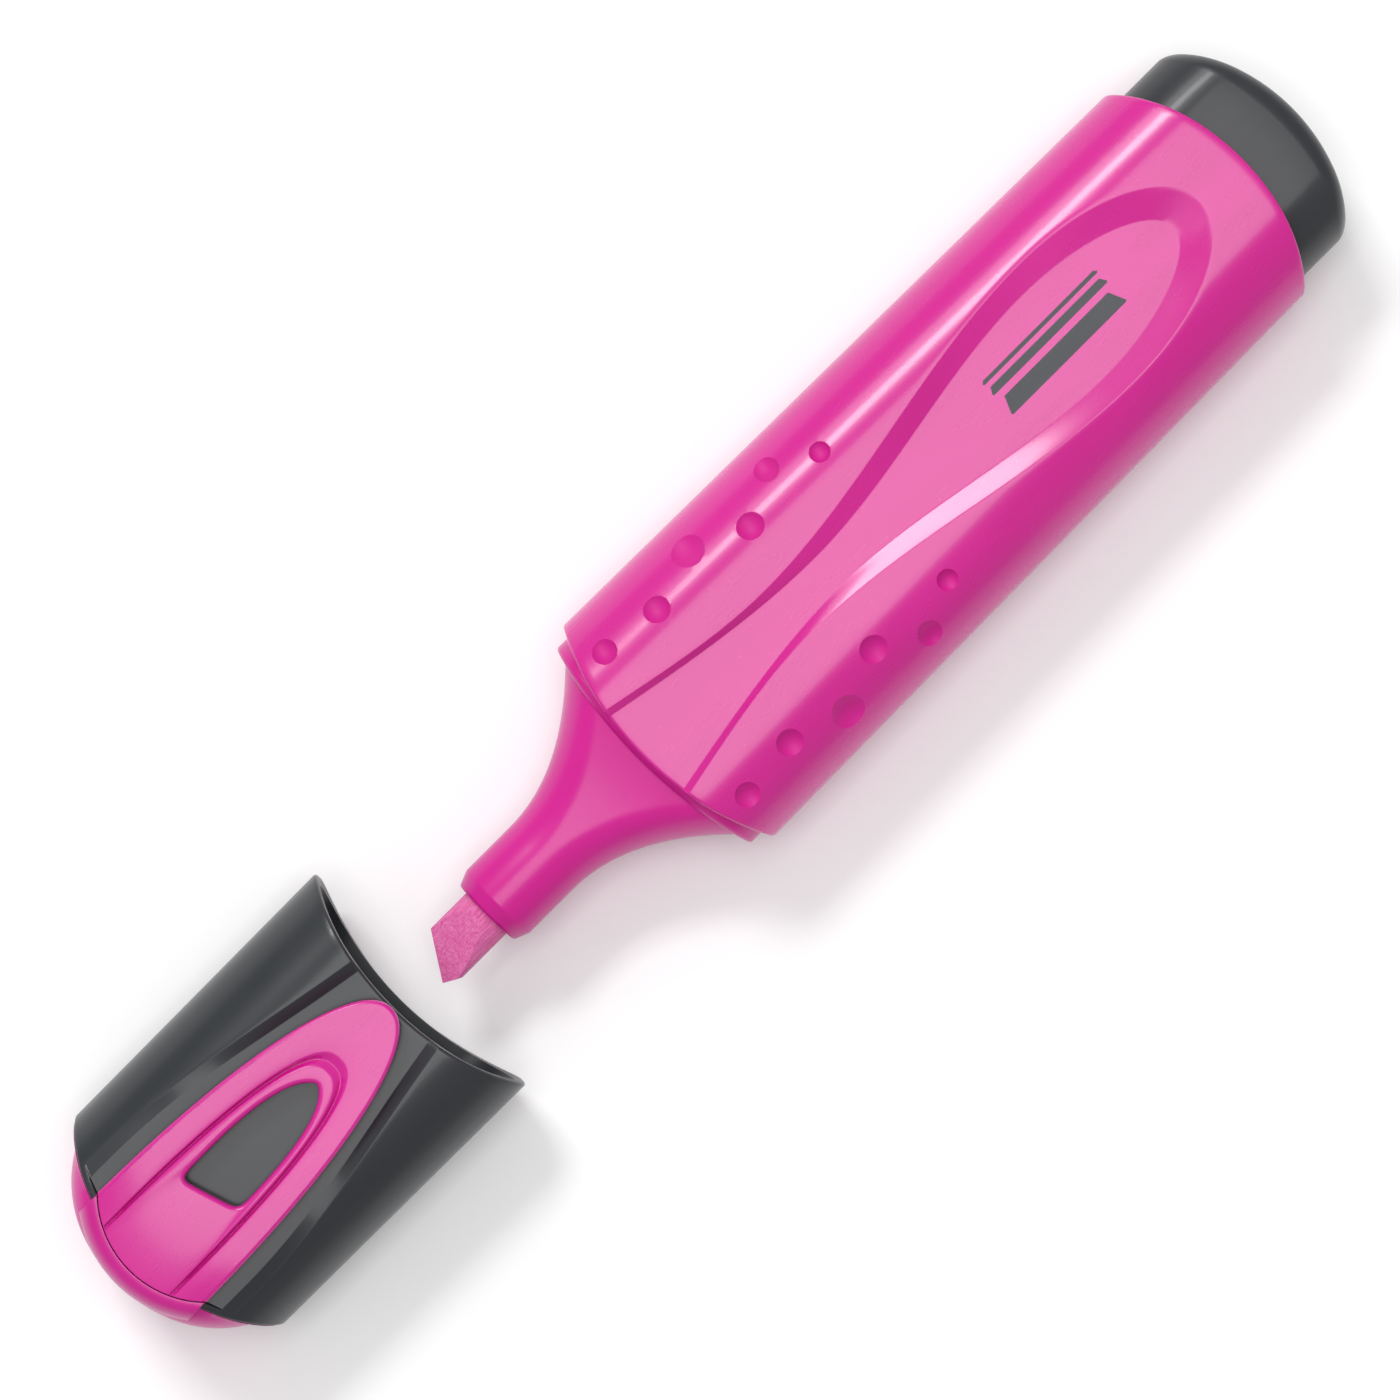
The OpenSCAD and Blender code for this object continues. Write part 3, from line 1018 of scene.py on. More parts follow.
@dataclass
class Barrel:
    """The hollow body with its sunk panel and grip dimples."""

    axis: Axis
    bar: FlatBar = FlatBar(14.0, 8.0, PEN_TAPER)
    socket: FlatBar = FlatBar(12.9, 6.35, PEN_TAPER)
    bore: FlatBar = FlatBar(12.3, 5.75, PEN_TAPER)
    length: float = 71.5
    socket_depth: float = 6.0
    front: Arc = Arc(28.775, 32.0, -1)
    rear: Arc = Arc(50.742, 24.6, 1)
    edge: float = 0.35
    land: float = 0.55
    calm: float = 4.0
    pitch: float = 0.55
    front_rows: int = 9
    near_tip: int = 12
    near_end: int = 16
    rear_rows: int = 7
    clear: float = 1.2
    past_panel: float = 0.15
    dimples: tuple[Point, ...] = (
        (1.2, 9.4, 2.5), (7.4, 8.75, 2.7), (13.3, 10.6, 3.4),
        (19.0, 8.1, 2.8), (23.8, 10.8, 2.5), (28.4, 8.4, 2.1),
    )
    dimple_depth: float = 0.62

    def rows(self) -> list[Row]:
        """The rows along the body, curved like its ends near them.

        Returns:
            The rows from the front to the rear.
        """
        panel = BarrelPanel()
        tip, end = panel.place(2, 0.0), panel.place(2, 1.0)
        settle = end + self.past_panel
        front, rear, edge, calm, pitch = self.front, self.rear, self.edge, self.calm, self.pitch
        out: list[Row] = [
            lambda y, t=t: mix(front.at(y) + edge, calm, t)
            for t in steps(0.0, 1.0, self.front_rows)
        ]
        run = [calm + pitch * i for i in range(1, int((tip - self.clear - calm) / pitch))]
        for start, stop, count in ((run[-1], tip, self.near_tip), (tip, end, self.near_end)):
            run += [stop - (stop - start) * (1 - i / count) ** 2 for i in range(1, count + 1)]
        out += [lambda y, s=s: s for s in run]
        turns = steps(0.0, 1.0, self.rear_rows)
        return out + [lambda y, t=t: mix(settle, rear.at(y) - edge, t) for t in turns]

    def shell(self) -> Loft:
        """Lofts the body.

        Returns:
            The closed skin: outside, rear rim, inside and front rim.
        """
        skin = ReliefSkin(self.bar, BarrelPanel())
        rings = [skin.ring(row) for row in self.rows()]
        loft = Loft(list(rings))
        for arc, ring, way in ((self.rear, rings[-1], 1), (self.front, rings[0], -1)):
            wall = inner_ring(ring, self.socket, self.bar, arc.at)
            rim = rim_rings(ring, wall, self.edge, way, self.land)
            depth = self.length - self.socket_depth if way > 0 else self.socket_depth
            rim.append(inner_ring(ring, self.socket, self.bar, lambda y, d=depth: d))
            rim.append(inner_ring(ring, self.bore, self.bar, lambda y, d=depth: d))
            for part in rim if way > 0 else rim[::-1]:
                loft.add(part)
        return loft

    def cutter(self) -> bpy.types.Object:
        """Makes the balls that leave the grip dimples on both faces.

        Returns:
            The cutter.
        """
        bm = bmesh.new()
        deep = self.dimple_depth
        for s, y, wide in self.dimples:
            core = self.bar.width(s) - self.bar.half_t
            lean = math.asin(clamp((y - core) / self.bar.half_t))
            ball = ((wide / 2) ** 2 + deep**2) / (2 * deep)
            lift = self.bar.half_t + ball - deep
            for side in (-1, 1):
                for face in (-1, 1):
                    centre = (
                        s,
                        side * (min(y, core) + lift * math.sin(lean)),
                        face * lift * math.cos(lean),
                    )
                    turn = Matrix.Rotation(side * face * -lean, 4, "X")
                    spread = Matrix.Diagonal((1.0, 1.0 / math.cos(lean), 1.0, 1.0))
                    bmesh.ops.create_uvsphere(
                        bm, u_segments=40, v_segments=28, radius=ball * MM,
                        matrix=Matrix.Translation(self.axis.at(centre)) @ turn @ spread,
                    )
        return to_object(bm, "dimple_cutter", 60.0)

    def build(self) -> bpy.types.Object:
        """Makes and dresses the barrel.

        Returns:
            The barrel.
        """
        piece = to_object(skinned(self.shell(), self.axis, True), "barrel_shell", 28.0)
        piece.data.materials.append(Finish.BARREL.material())
        cutter = self.cutter()
        # The dimple walls take the darker grip finish, which is painted shade in the recesses.
        cutter.data.materials.append(Finish.GRIP.material())
        carve(piece, cutter, 28.0)
        wear(piece, Finish.BARREL, Body.PEN, "barrel_plastic", "barrel")
        return piece


@dataclass
class PrintedMark:
    """Three printed bars in the panel, as wide as the lines that the nib draws."""

    axis: Axis
    start: float = 43.5
    length: float = 15.0
    bars: tuple[Flat, ...] = ((2.15, 0.4), (1.05, 0.8), (-0.95, 1.8))
    corner: float = 0.18
    slant: float = 0.35
    face: float = 8.0
    sunk: float = 0.04
    film: float = 0.012

    def outline(self, across: float, width: float) -> list[Flat]:
        """A bar's rounded outline, with its rear end cut on the slant.

        Args:
            across: the bar's middle, across the pen.
            width: the bar's width.

        Returns:
            Points along and across the pen.
        """
        r = min(self.corner, width / 2.01)
        low, high = across - width / 2, across + width / 2
        lean = self.slant * width
        out = []
        for s, y, first in (
            (self.start + self.length - lean, high, 0.0), (self.start + lean, high, 90.0),
            (self.start, low, 180.0), (self.start + self.length, low, 270.0),
        ):
            s += -r if first in (0.0, 270.0) else r
            y += -r if first < 180.0 else r
            for turn in steps(first, first + 90.0, 6):
                a = math.radians(turn)
                out.append((s + r * math.cos(a), y + r * math.sin(a)))
        return out

    def build(self) -> bpy.types.Object:
        """Makes and dresses the printed mark.

        Returns:
            The mark.
        """
        panel = BarrelPanel()
        bm = bmesh.new()
        for across, width in self.bars:
            loft = Loft()
            flat = self.outline(across, width)
            for lift in (-self.sunk, self.film):
                loft.add([(s, y, self.face - panel.depth(s) + lift) for s, y in flat])
            loft.mesh(bm, self.axis, looped=False, ends=True)
        tidy(bm)
        piece = to_object(bm, "printed_mark", 30.0)
        wear(piece, Finish.INK, Body.PEN, "barrel_plastic")
        return piece


@dataclass
class NibHolder:
    """The front section: a lip, a concave flare and the nozzle with its bore.

    The chamfer's and the lead-in's points are places behind the mouth, with how far they lie inside
    the nozzle's radius and outside the bore's.
    """

    axis: Axis
    skirt: FlatBar = PLUG_FIT
    wall: float = 1.2
    lip: Arc = Arc(43.3, 46.95, -1)
    lip_edge: float = 0.9
    lip_corner: float = 0.35
    step: Flat = (1.57, 0.92)
    skirt_end: float = 5.9
    skirt_front: float = 1.0
    hollow_front: float = 0.0
    lip_rings: int = 7
    flare_shares: tuple[float, ...] = (0.0, 0.012, 0.03, *steps(0.06, 1.0, 40))
    flare_end: float = -16.6
    straight: float = 0.5
    nozzle_r: float = 4.18
    foot: float = 0.1
    mouth: float = -24.0
    bore: float = 2.72
    bore_end: float = -6.0
    chamfer: tuple[Flat, ...] = (
        (1.57, 0.0), (1.48, 0.01), (1.39, 0.04), (1.3, 0.075),
        (0.3, 0.48), (0.1, 0.57), (0.02, 0.7), (0.0, 0.95),
    )
    lead_in: tuple[Flat, ...] = ((0.0, 0.2), (0.06, 0.06), (0.2, 0.0))

    def flare(self, share: float) -> Ring:
        """A ring of the flare.

        Args:
            share: its place, from the foot (0) to the nozzle (1).

        Returns:
            The ring.
        """
        foot_w = self.skirt.half_w - self.step[0]
        fall = (1.0 - share) ** 2
        small = self.nozzle_r + self.foot * (1.0 - share)
        wide = small + (foot_w - small) * fall
        high = small + (self.skirt.half_t - self.step[1] - small) * fall
        bar = FlatBar(wide + TINY, high)

        def row(y: float) -> float:
            """The place along the pen, which follows the lip at the foot."""
            return mix(self.lip.at(y * foot_w / wide), self.flare_end, share)

        return around(bar_quarter(bar, row))

    def round_ring(self, s: float, radius: float) -> Ring:
        """A ring of the nozzle."""
        return around(bar_quarter(FlatBar(radius + TINY, radius), lambda y: s))

    def build(self) -> bpy.types.Object:
        """Makes and dresses the nib holder.

        Returns:
            The holder.
        """
        loft = Loft()
        loft.add(around(bar_quarter(self.skirt, lambda y: self.skirt_end)))
        loft.add(around(bar_quarter(self.skirt, lambda y: self.skirt_front)))
        lip = EndPiece(self.skirt, self.lip, self.lip_edge, self.lip_corner)
        for ring in lip.rings(self.lip_rings):
            loft.add(ring)
        for share in self.flare_shares:
            loft.add(self.flare(share))
        loft.add(self.round_ring(self.flare_end - self.straight, self.nozzle_r))
        for along, drop in self.chamfer:
            loft.add(self.round_ring(self.mouth + along, self.nozzle_r - drop))
        for along, grow in self.lead_in:
            loft.add(self.round_ring(self.mouth + along, self.bore + grow))
        loft.add(self.round_ring(self.bore_end, self.bore))
        inner = self.skirt.inset(self.wall)
        loft.add(around(bar_quarter(inner, lambda y: self.hollow_front)))
        loft.add(around(bar_quarter(inner, lambda y: self.skirt_end)))
        piece = to_object(skinned(loft, self.axis, True), "nib_holder_section", 42.0)
        wear(piece, Finish.HOLDER, Body.PEN, "holder_plastic", "nib_holder")
        return piece


@dataclass
class Nib:
    """The felt rod with its slanted chisel."""

    axis: Axis
    radius: float = 2.68
    tip: float = -31.6
    rear: float = 12.6
    rear_cone: float = 2.0
    back: float = 2.65
    high: float = 2.412
    low: float = -1.742
    edge: float = 0.8
    wedge: float = 26.0
    heel: float = 1.7
    soft: float = 0.16
    shown_from: float = -24.0
    facet: float = 12.0
    stock: float = 0.5
    turns: int = 120

    def cut(self, bm: bmesh.types.BMesh, point: Point, normal: Point) -> None:
        """Cuts away what lies beyond a plane and closes the cut.

        Args:
            bm: the mesh.
            point: a point on the plane, in the pen's millimetres.
            normal: the plane's normal, towards what goes.
        """
        cut = bmesh.ops.bisect_plane(
            bm, geom=bm.verts[:] + bm.edges[:] + bm.faces[:], plane_co=self.axis.at(point),
            plane_no=Vector(normal), clear_outer=True, dist=1e-8,
        )
        edges = [e for e in cut["geom_cut"] if isinstance(e, bmesh.types.BMEdge)]
        bmesh.ops.edgeloop_fill(bm, edges=edges)

    def build(self) -> bpy.types.Object:
        """Makes and dresses the nib.

        Returns:
            The nib.
        """
        loft = Loft()
        for s, radius in (
            (self.rear, self.radius / 2), (self.rear - self.rear_cone, self.radius),
            (0.0, self.radius), (self.tip - self.stock, self.radius),
        ):
            loft.add(
                (s, radius * math.cos(a), radius * math.sin(a))
                for a in (math.radians(360.0 / self.turns * i) for i in range(self.turns))
            )
        bm = bmesh.new()
        loft.mesh(bm, self.axis, looped=False, ends=True)
        bmesh.ops.recalc_face_normals(bm, faces=bm.faces[:])
        slant = math.atan2(self.back, self.high - self.low)
        front = Vector((-math.cos(slant), math.sin(slant), 0.0))
        self.cut(bm, (self.tip, self.low, 0.0), tuple(front))
        heel = Vector((-(self.radius + self.low), -self.heel, 0.0)).normalized()
        self.cut(bm, (self.tip, self.low, 0.0), (heel.x, heel.y, 0.0))
        lean = math.radians(self.wedge)
        for face in (-1, 1):
            normal = front * math.sin(lean) + Vector((0.0, 0.0, face * math.cos(lean)))
            self.cut(bm, (self.tip, self.low, face * self.edge / 2), tuple(normal))
        sharp = [
            e for e in bm.edges
            if len(e.link_faces) == 2 and e.calc_face_angle() > math.radians(self.facet)
            and max(v.co.x for v in e.verts) < self.axis.at((self.shown_from, 0, 0)).x
        ]
        bmesh.ops.bevel(
            bm, geom=sharp, offset=self.soft * MM, segments=3, affect="EDGES", profile=0.5,
            clamp_overlap=True,
        )
        tidy(bm)
        piece = to_object(bm, "nib_felt_rod", 35.0)
        wear(piece, Finish.NIB, Body.PEN, "felt_nib", "nib")
        return piece


@dataclass
class RearPlug:
    """The dark plug at the rear, with its rounded end."""

    axis: Axis
    bar: FlatBar = PLUG_FIT
    arc: Arc = Arc(63.4, 19.0, 1)
    rounding: float = 2.1
    corner: float = 0.4
    inner_end: float = 65.6
    step: float = 0.5

    def build(self) -> bpy.types.Object:
        """Makes and dresses the plug.

        Returns:
            The plug.
        """
        start = self.inner_end + self.step
        inner = around(bar_quarter(self.bar, lambda y: self.inner_end))
        loft = Loft([[(s, y, 0.0) for s, y, _ in inner], inner])
        loft.add(around(bar_quarter(self.bar, lambda y: start)))
        edge = EndPiece(self.bar, self.arc, self.rounding, self.corner)
        first = edge.rings()[0]
        for t in steps(0.0, 1.0, 5)[1:-1]:
            loft.add([(mix(start, s, t), y, z) for s, y, z in first])
        for ring in edge.rings():
            loft.add(ring)
        edge.close(loft)
        piece = to_object(skinned(loft, self.axis, False), "rear_plug_end", 40.0)
        wear(piece, Finish.PLUG, Body.PEN, "plug_plastic", "rear_plug")
        return piece


# ---------------------------------------------------------------- the cap


@dataclass
class Cap:
    """The cap: the graphite shell and the coloured end piece with the clip's root."""

    axis: Axis
    rim: float = -32.8
    bar: FlatBar = FlatBar(14.0, 8.0, CAP_TAPER, -32.8)
    mouth: FlatBar = FlatBar(12.99, 6.44, CAP_TAPER, -32.8)
    front: Arc = Arc(-4.025, 32.0, -1)
    rear: Arc = SHELL_END
    front_rows: int = 7
    body_rows: int = 40
    rear_rows: int = 7
    dome: Arc = Arc(-57.3, 15.3, -1)
    dome_inset: float = 0.3
    dome_round: float = 3.2
    dome_rings: int = 12
    spigot_end: float = -65.0
    spigot_neck: float = 0.6
    spigot_lead: float = 0.1
    plate_gap: Flat = (0.03, 0.04)
    edge: float = 0.28
    land: float = 0.3
    fit: float = 0.05
    depths: Flat = (-40.0, -62.0)
    calm: float = -38.2
    settle: float = -62.0
    rail_start: float = 0.9
    rail_rows: tuple[float, ...] = (0.66, 0.59, 0.55, 0.51, 0.47, 0.43, 0.39, 0.2, 0.0)
    root_w: float = 7.15
    root_foot: Flat = (3.4, 5.0)
    root_round: float = 3.4
    root_taper: float = 0.08
    root_gap: float = 0.1
    root_land: float = 0.15
    seam: Arc = CLIP_SEAM
    band: float = 2.12
    top: float = 9.18

    def rows(self) -> list[Row]:
        """The rows along the shell, curved like its ends near them.

        Returns:
            The rows from the rim to the closed end.
        """
        front, rear, edge, calm, settle = self.front, self.rear, self.edge, self.calm, self.settle
        rail = edge + self.rail_start
        out: list[Row] = [
            lambda y, t=t: mix(front.at(y) - edge, calm, t)
            for t in steps(0.0, 1.0, self.front_rows)
        ]
        out += [lambda y, s=s: s for s in steps(calm, settle, self.body_rows)[1:]]
        turns = steps(0.0, 1.0, self.rear_rows)[1:]
        out += [lambda y, t=t: mix(settle, rear.at(y) + rail, t) for t in turns]
        return out + [lambda y, d=d: rear.at(y) + edge + d for d in self.rail_rows]

    def build(self) -> None:
        """Makes and dresses the shell and the end piece."""
        self.shell()
        self.end()

    def shell(self) -> bpy.types.Object:
        """Makes and dresses the open shell.

        Returns:
            The shell.
        """
        skin = ReliefSkin(self.bar, CapPanel(self.rim))
        rings = [skin.ring(row) for row in self.rows()]
        loft = Loft(list(rings))
        for arc, ring, way in ((self.rear, rings[-1], -1), (self.front, rings[0], 1)):
            wall = inner_ring(ring, self.mouth, self.bar, arc.at)
            rim = rim_rings(ring, wall, self.edge, way, self.land)
            inside = self.depths[1] if way < 0 else self.depths[0]
            rim.append(inner_ring(ring, self.mouth, self.bar, lambda y, d=inside: d))
            for part in rim if way < 0 else rim[::-1]:
                loft.add(part)
        piece = to_object(skinned(loft, self.axis, True), "cap_shell_graphite", 28.0)
        wear(piece, Finish.SHELL, Body.CAP, "shell_plastic", "cap_shell")
        return piece

    def end(self) -> bpy.types.Object:
        """Makes and dresses the coloured end with the clip's root.

        Returns:
            The end piece.
        """
        plate = self.bar.inset(self.dome_inset)
        spigot = self.mouth.inset(self.fit)
        flat = around(bar_quarter(spigot, lambda y: self.spigot_end))
        loft = Loft([[(s, y, z * share) for s, y, z in flat] for share in (0.0, 0.6, 1.0)])
        loft.add(around(bar_quarter(spigot, lambda y: self.rear.at(y) + self.spigot_neck)))
        back = self.spigot_end - self.spigot_lead
        near, far = self.plate_gap
        loft.add(around(bar_quarter(plate, lambda y: min(self.rear.at(y) - near, back))))
        edge = EndPiece(plate, self.dome, self.dome_round)
        for ring in edge.rings(self.dome_rings):
            loft.add([(min(s, self.rear.at(y) - far), y, z) for s, y, z in ring])
        edge.close(loft)
        bm = skinned(loft, self.axis, False)
        self.root(bm)
        piece = to_object(bm, "cap_end_dome", 40.0)
        wear(piece, Finish.CAP_END, Body.CAP, "cap_end_plastic", "cap_end")
        return piece

    def root(self, bm: bmesh.types.BMesh) -> None:
        """Adds the block that carries the clip.

        Args:
            bm: the mesh it is added to.
        """
        seat = Arc(self.seam.centre, self.seam.radius + self.root_gap, -1)
        loft = Loft()
        side = steps(-1.0, 1.0, 28)
        for grow, z in self.root_profile():
            half = self.root_w - grow * self.root_taper
            arc = Arc(seat.centre, seat.radius + self.band - grow, -1)
            ring = [(arc.at(half * t), half * t, z) for t in side]
            ring += [(seat.at(half * t), half * t, z) for t in reversed(side)]
            loft.add(ring)
        loft.mesh(bm, self.axis, looped=False, ends=True)
        bmesh.ops.recalc_face_normals(bm, faces=bm.faces[:])

    def root_profile(self) -> list[Flat]:
        """The block's rounded end, from its foot to its top.

        Returns:
            How far it draws back, and the height.
        """
        over = self.root_round
        out = [(0.0, z) for z in (*self.root_foot, self.top - over)]
        for turn in steps(0.0, 90.0, 12)[1:]:
            a = math.radians(turn)
            recede = (self.band - self.root_land) * (1 - math.cos(a))
            out.append((recede, self.top - over + over * math.sin(a)))
        return out


@dataclass
class Clip:
    """The sprung clip: a long tongue with a groove round its middle and a window.

    A profile's points are a share of the way to the next outline, with how deep they lie as a
    share of the groove. The window's are a distance outside it, with how deep they lie.
    """

    axis: Axis
    hinge: float = -69.8
    reach: float = 33.8
    half: float = 7.15
    full: float = 2.2
    low: float = 8.2
    thick: float = 1.5
    groove: float = 0.5
    seam: Arc = CLIP_SEAM
    nose: float = 0.1
    groove_out: Point = (27.0, 4.6, 2.6)
    groove_in: Point = (25.5, 4.15, 2.6)
    window: tuple[Flat, ...] = (
        (-61.0, 2.6), (-59.2, -3.15), (-47.2, -3.1), (-45.8, -0.1), (-47.6, 3.2),
    )
    land: tuple[Flat, ...] = ((0.15, 0.0), (0.55, 0.0), (0.96, 0.0), (1.0, 0.06))
    channel: tuple[Flat, ...] = (
        (0.16, 0.35), (0.47, 0.98), (0.53, 0.98), (0.84, 0.35), (1.0, 0.06), (1.14, 0.0),
    )
    window_round: tuple[Flat, ...] = (
        (0.46, 0.0), (0.32, 0.02), (0.18, 0.09), (0.06, 0.2), (0.0, 0.38),
    )
    window_foot: tuple[Flat, ...] = ((0.0, 0.2), (0.15, 0.0))
    edge: float = 0.42
    camber: float = 0.12
    fall: Flat = (0.5, 7.0)
    bead: float = 0.65
    bead_half: float = 2.4
    bead_back: float = 4.0
    side_rings: int = 14
    root_cells: int = 16
    side_cells: int = 56
    blends: int = 5

    def loop(self, reach: float, half: float, full: float, back: float = 0.0) -> list[Flat]:
        """A closed loop round the clip: the root's side, then most of half an oval.

        Args:
            reach: the oval's reach from the hinge line.
            half: half its width.
            full: how full it is (2 is an ellipse).
            back: how far the root's side draws back.

        Returns:
            The loop's points along and across the pen.
        """
        lift = 0.03 * (self.half - half) + back
        power = 2.0 / full
        corner = (self.seam.at(half) + lift - self.hinge) / reach
        turn = math.acos(corner ** (1.0 / power))
        wide = half * math.sin(turn) ** power
        root = [(self.seam.at(wide * t) + lift, wide * t) for t in steps(1.0, -1.0, self.root_cells)]
        curve = []
        for a in steps(-turn, turn, 2 * self.side_cells)[1:-1]:
            y = half * math.copysign(abs(math.sin(a)) ** power, a)
            curve.append((self.hinge + reach * math.cos(a) ** power, y))
        return root + curve

    def window_loop(self, grow: float) -> list[Flat]:
        """The window's loop, its points paired with the outer loop's.

        Args:
            grow: how far outside the window it lies.

        Returns:
            The loop's points along and across the pen.
        """
        top, foot, low_pull, tip, high_pull = (Vector(p) for p in self.window)
        raw = [top.lerp(foot, t) for t in steps(0.0, 1.0, self.root_cells)]
        for start, pull, end in ((foot, low_pull, tip), (tip, high_pull, top)):
            raw += [
                start.lerp(pull, t).lerp(pull.lerp(end, t), t)
                for t in steps(0.0, 1.0, self.side_cells)[1:]
            ]
        raw.pop()
        count = len(raw)
        for _ in range(self.blends):
            raw = [(raw[i - 1] + raw[i] * 2 + raw[(i + 1) % count]) / 4 for i in range(count)]
        middle = sum(raw, Vector((0.0, 0.0))) / count
        out = []
        for i, p in enumerate(raw):
            along = raw[(i + 1) % count] - raw[i - 1]
            normal = Vector((along.y, -along.x)).normalized()
            if normal.dot(p - middle) < 0:
                normal.negate()
            out.append(tuple(p + normal * grow))
        return out

    def is_root(self, i: int) -> bool:
        """Whether a loop's point lies on the root's side."""
        return i <= self.root_cells

    def crown(self, s: float, y: float) -> float:
        """Height of the clip's top, which falls away to its sides and its root.

        Args:
            s: the place along the pen.
            y: the place across it.

        Returns:
            The height over the pen's axis.
        """
        share = clamp(abs(y) / self.half)
        bow = clamp((self.seam.at(y) + self.fall[1] - s) / self.fall[1])
        return self.low + self.thick - self.camber * share**2 - self.fall[0] * bow**2

    def side_ring(self, turn: float) -> Ring:
        """A ring of the rounded side.

        Args:
            turn: the rounding's turn in degrees, from the underside (-90) to the top (90).

        Returns:
            The ring.
        """
        a = math.radians(turn)
        high = 1.0 if turn > 0 else 0.0 if turn < 0 else 0.5
        drawn = self.edge * (1 - math.cos(a))
        back = self.nose * (1 - math.cos(a))
        out = []
        outline = self.loop(self.reach - drawn, self.half - drawn, self.full, back)
        for i, (s, y) in enumerate(outline):
            small = self.nose if self.is_root(i) else self.edge
            z = mix(self.low + small, self.crown(s, y) - small, high) + small * math.sin(a)
            out.append((s, y, z))
        return out

    def top_ring(self, outline: list[Flat], deep: float) -> Ring:
        """A ring of the top, which stays flush along the root's side.

        Args:
            outline: the ring's points along and across the pen.
            deep: how deep it lies elsewhere.

        Returns:
            The ring.
        """
        return [
            (s, y, self.crown(s, y) - (0.0 if self.is_root(i) else deep))
            for i, (s, y) in enumerate(outline)
        ]

    def build(self) -> bpy.types.Object:
        """Makes and dresses the clip.

        Returns:
            The clip.
        """
        loft = Loft([self.side_ring(turn) for turn in steps(-90.0, 90.0, self.side_rings)])
        for first, last, profile in (
            ((self.reach, self.half, self.full), self.groove_out, self.land),
            (self.groove_out, self.groove_in, self.channel),
        ):
            for share, sink in profile:
                shape = [mix(a, b, share) for a, b in zip(first, last)]
                loft.add(self.top_ring(self.loop(*shape), sink * self.groove))
        for grow, drop in self.window_round:
            loft.add([(s, y, self.crown(s, y) - drop) for s, y in self.window_loop(grow)])
        for grow, lift in self.window_foot:
            loft.add([(s, y, self.low + lift) for s, y in self.window_loop(grow)])
        bm = skinned(loft, self.axis, True)
        self.under_bead(bm)
        piece = to_object(bm, "clip_tongue", 40.0)
        wear(piece, Finish.CLIP, Body.CLIP, "clip_plastic", "clip")
        return piece

    def under_bead(self, bm: bmesh.types.BMesh) -> None:
        """Adds the bead under the clip's tip, with rounded ends.

        Args:
            bm: the mesh it is added to.
        """
        place = self.hinge + self.reach - self.bead_back
        loft = Loft()
        for turn in steps(-84.0, 84.0, 12):
            a = math.radians(turn)
            radius = self.bead * (math.cos(a) ** 0.5)
            across = self.bead_half * math.sin(a)
            loft.add(
                (place + radius * math.cos(b), across, self.low + radius * math.sin(b))
                for b in (math.radians(15.0 * i) for i in range(24))
            )
        loft.mesh(bm, self.axis, looped=False, ends=True)
        bmesh.ops.recalc_face_normals(bm, faces=bm.faces[:])


@dataclass
class Insides:
    """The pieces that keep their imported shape, each with its finish."""

    finishes: tuple[tuple[str, Finish], ...] = (
        ("cap_liner", Finish.LINER),
        ("ink_reservoir", Finish.FIBRE),
        ("reservoir_film", Finish.FILM),
        ("breather_tube", Finish.TUBE),
    )

    def dress(self) -> None:
        """Gives each its finish."""
        for name, finish in self.finishes:
            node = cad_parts[name]
            node.data.materials.clear()
            node.data.materials.append(finish.material())
            LOG.info("%s keeps its shape", name)


# ---------------------------------------------------------------- the studio


@dataclass(frozen=True)
class Lamp:
    """A rectangular soft light that looks at the pen."""

    name: str
    place: Point
    size: Flat
    radiance: float

    def build(self) -> None:
        """Hangs the light."""
        data = bpy.data.lights.new(self.name, "AREA")
        data.shape = "RECTANGLE"
        data.size, data.size_y = self.size
        data.energy = self.radiance * math.pi * self.size[0] * self.size[1]
        lamp = bpy.data.objects.new(self.name, data)
        place = Vector(self.place)
        lamp.matrix_world = Matrix.LocRotScale(place, (-place).to_track_quat("-Z", "Y"), None)
        bpy.context.scene.collection.objects.link(lamp)
        LOG.info("light %s", self.name)


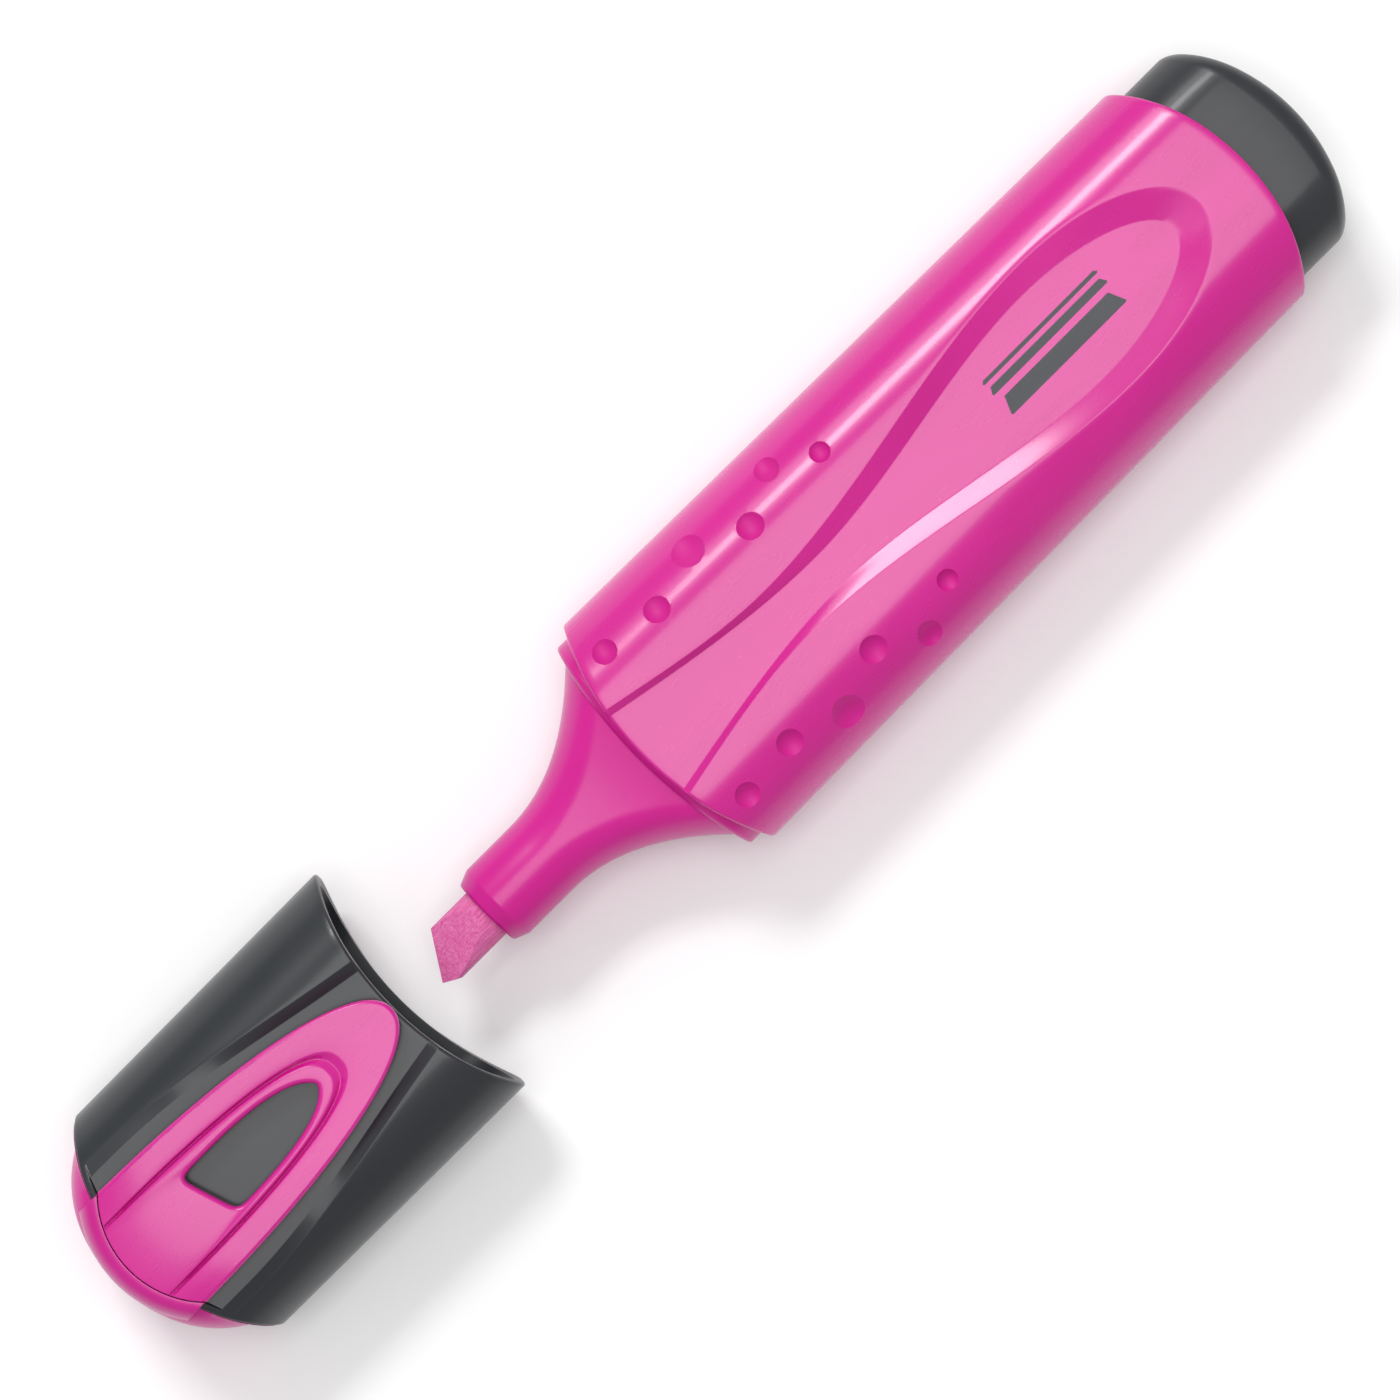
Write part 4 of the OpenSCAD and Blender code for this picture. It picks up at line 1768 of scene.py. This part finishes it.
@dataclass
class Studio:
    """Pale floor, soft lights, surround and camera."""

    view_width: float = 0.1316
    lens: float = 150.0
    sensor: float = 36.0
    aim: Point = (-0.0003, -0.00003, 0.008)
    turn: float = -45.0
    near: float = 0.01
    surround: float = 0.52
    board: float = 1.5
    sink: float = 0.00002
    lamps: tuple[Lamp, ...] = (
        Lamp("overhead_box", (0.0, 0.04, 1.2), (0.7, 0.6), 4.1),
        Lamp("accent_box", (0.2, 0.8, 0.95), (0.36, 0.2), 25.0),
        Lamp("side_strip", (0.32, 0.985, 0.77), (0.55, 0.2), 4.5),
    )

    def floor(self) -> None:
        """Lays the floor."""
        bm = bmesh.new()
        bmesh.ops.create_grid(bm, x_segments=2, y_segments=2, size=self.board)
        piece = to_object(bm, "floor", 30.0)
        piece.location.z = -self.sink
        piece.data.materials.append(StudioFloor().build())
        piece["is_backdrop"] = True

    def lights(self) -> None:
        """Hangs the lights and sets the surround."""
        for lamp in self.lamps:
            lamp.build()
        world = bpy.data.worlds.new("surround")
        world.use_nodes = True
        shade = world.node_tree.nodes["Background"]
        shade.inputs[0].default_value = rgba(1.0, 1.0, 1.0)
        shade.inputs[1].default_value = self.surround
        bpy.context.scene.world = world

    def camera(self) -> None:
        """Sets the camera straight above the pen, which runs along the frame's diagonal."""
        data = bpy.data.cameras.new("camera")
        data.lens = self.lens
        data.sensor_width = self.sensor
        data.clip_start = self.near
        away = self.view_width * self.lens / self.sensor
        camera = bpy.data.objects.new("camera", data)
        camera.matrix_world = Matrix.LocRotScale(
            Vector(self.aim) + Vector((0.0, 0.0, away)),
            Matrix.Rotation(math.radians(self.turn), 3, "Z").to_quaternion(), None,
        )
        bpy.context.scene.collection.objects.link(camera)
        bpy.context.scene.camera = camera

    def build(self) -> None:
        """Makes the studio."""
        self.floor()
        self.lights()
        self.camera()
        bpy.context.scene.view_settings.view_transform = "Standard"


def main() -> None:
    """Builds the pen, its cap and the studio."""
    logging.basicConfig(level=logging.INFO, format="%(name)s: %(message)s")
    low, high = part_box("barrel")
    axis = Axis(low.x - BarrelPanel.crown * MM, (low.z + high.z) / 2)
    Studio().build()
    Barrel(axis).build()
    PrintedMark(axis).build()
    NibHolder(axis).build()
    Nib(axis).build()
    RearPlug(axis).build()
    Cap(axis).build()
    Clip(axis).build()
    Insides().dress()
    sizes = {"cad": CAD_BOX, "visual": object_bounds()}
    {k: [list(corner) for corner in v] for k, v in sizes.items()}


if __name__ == "__main__":
    main()
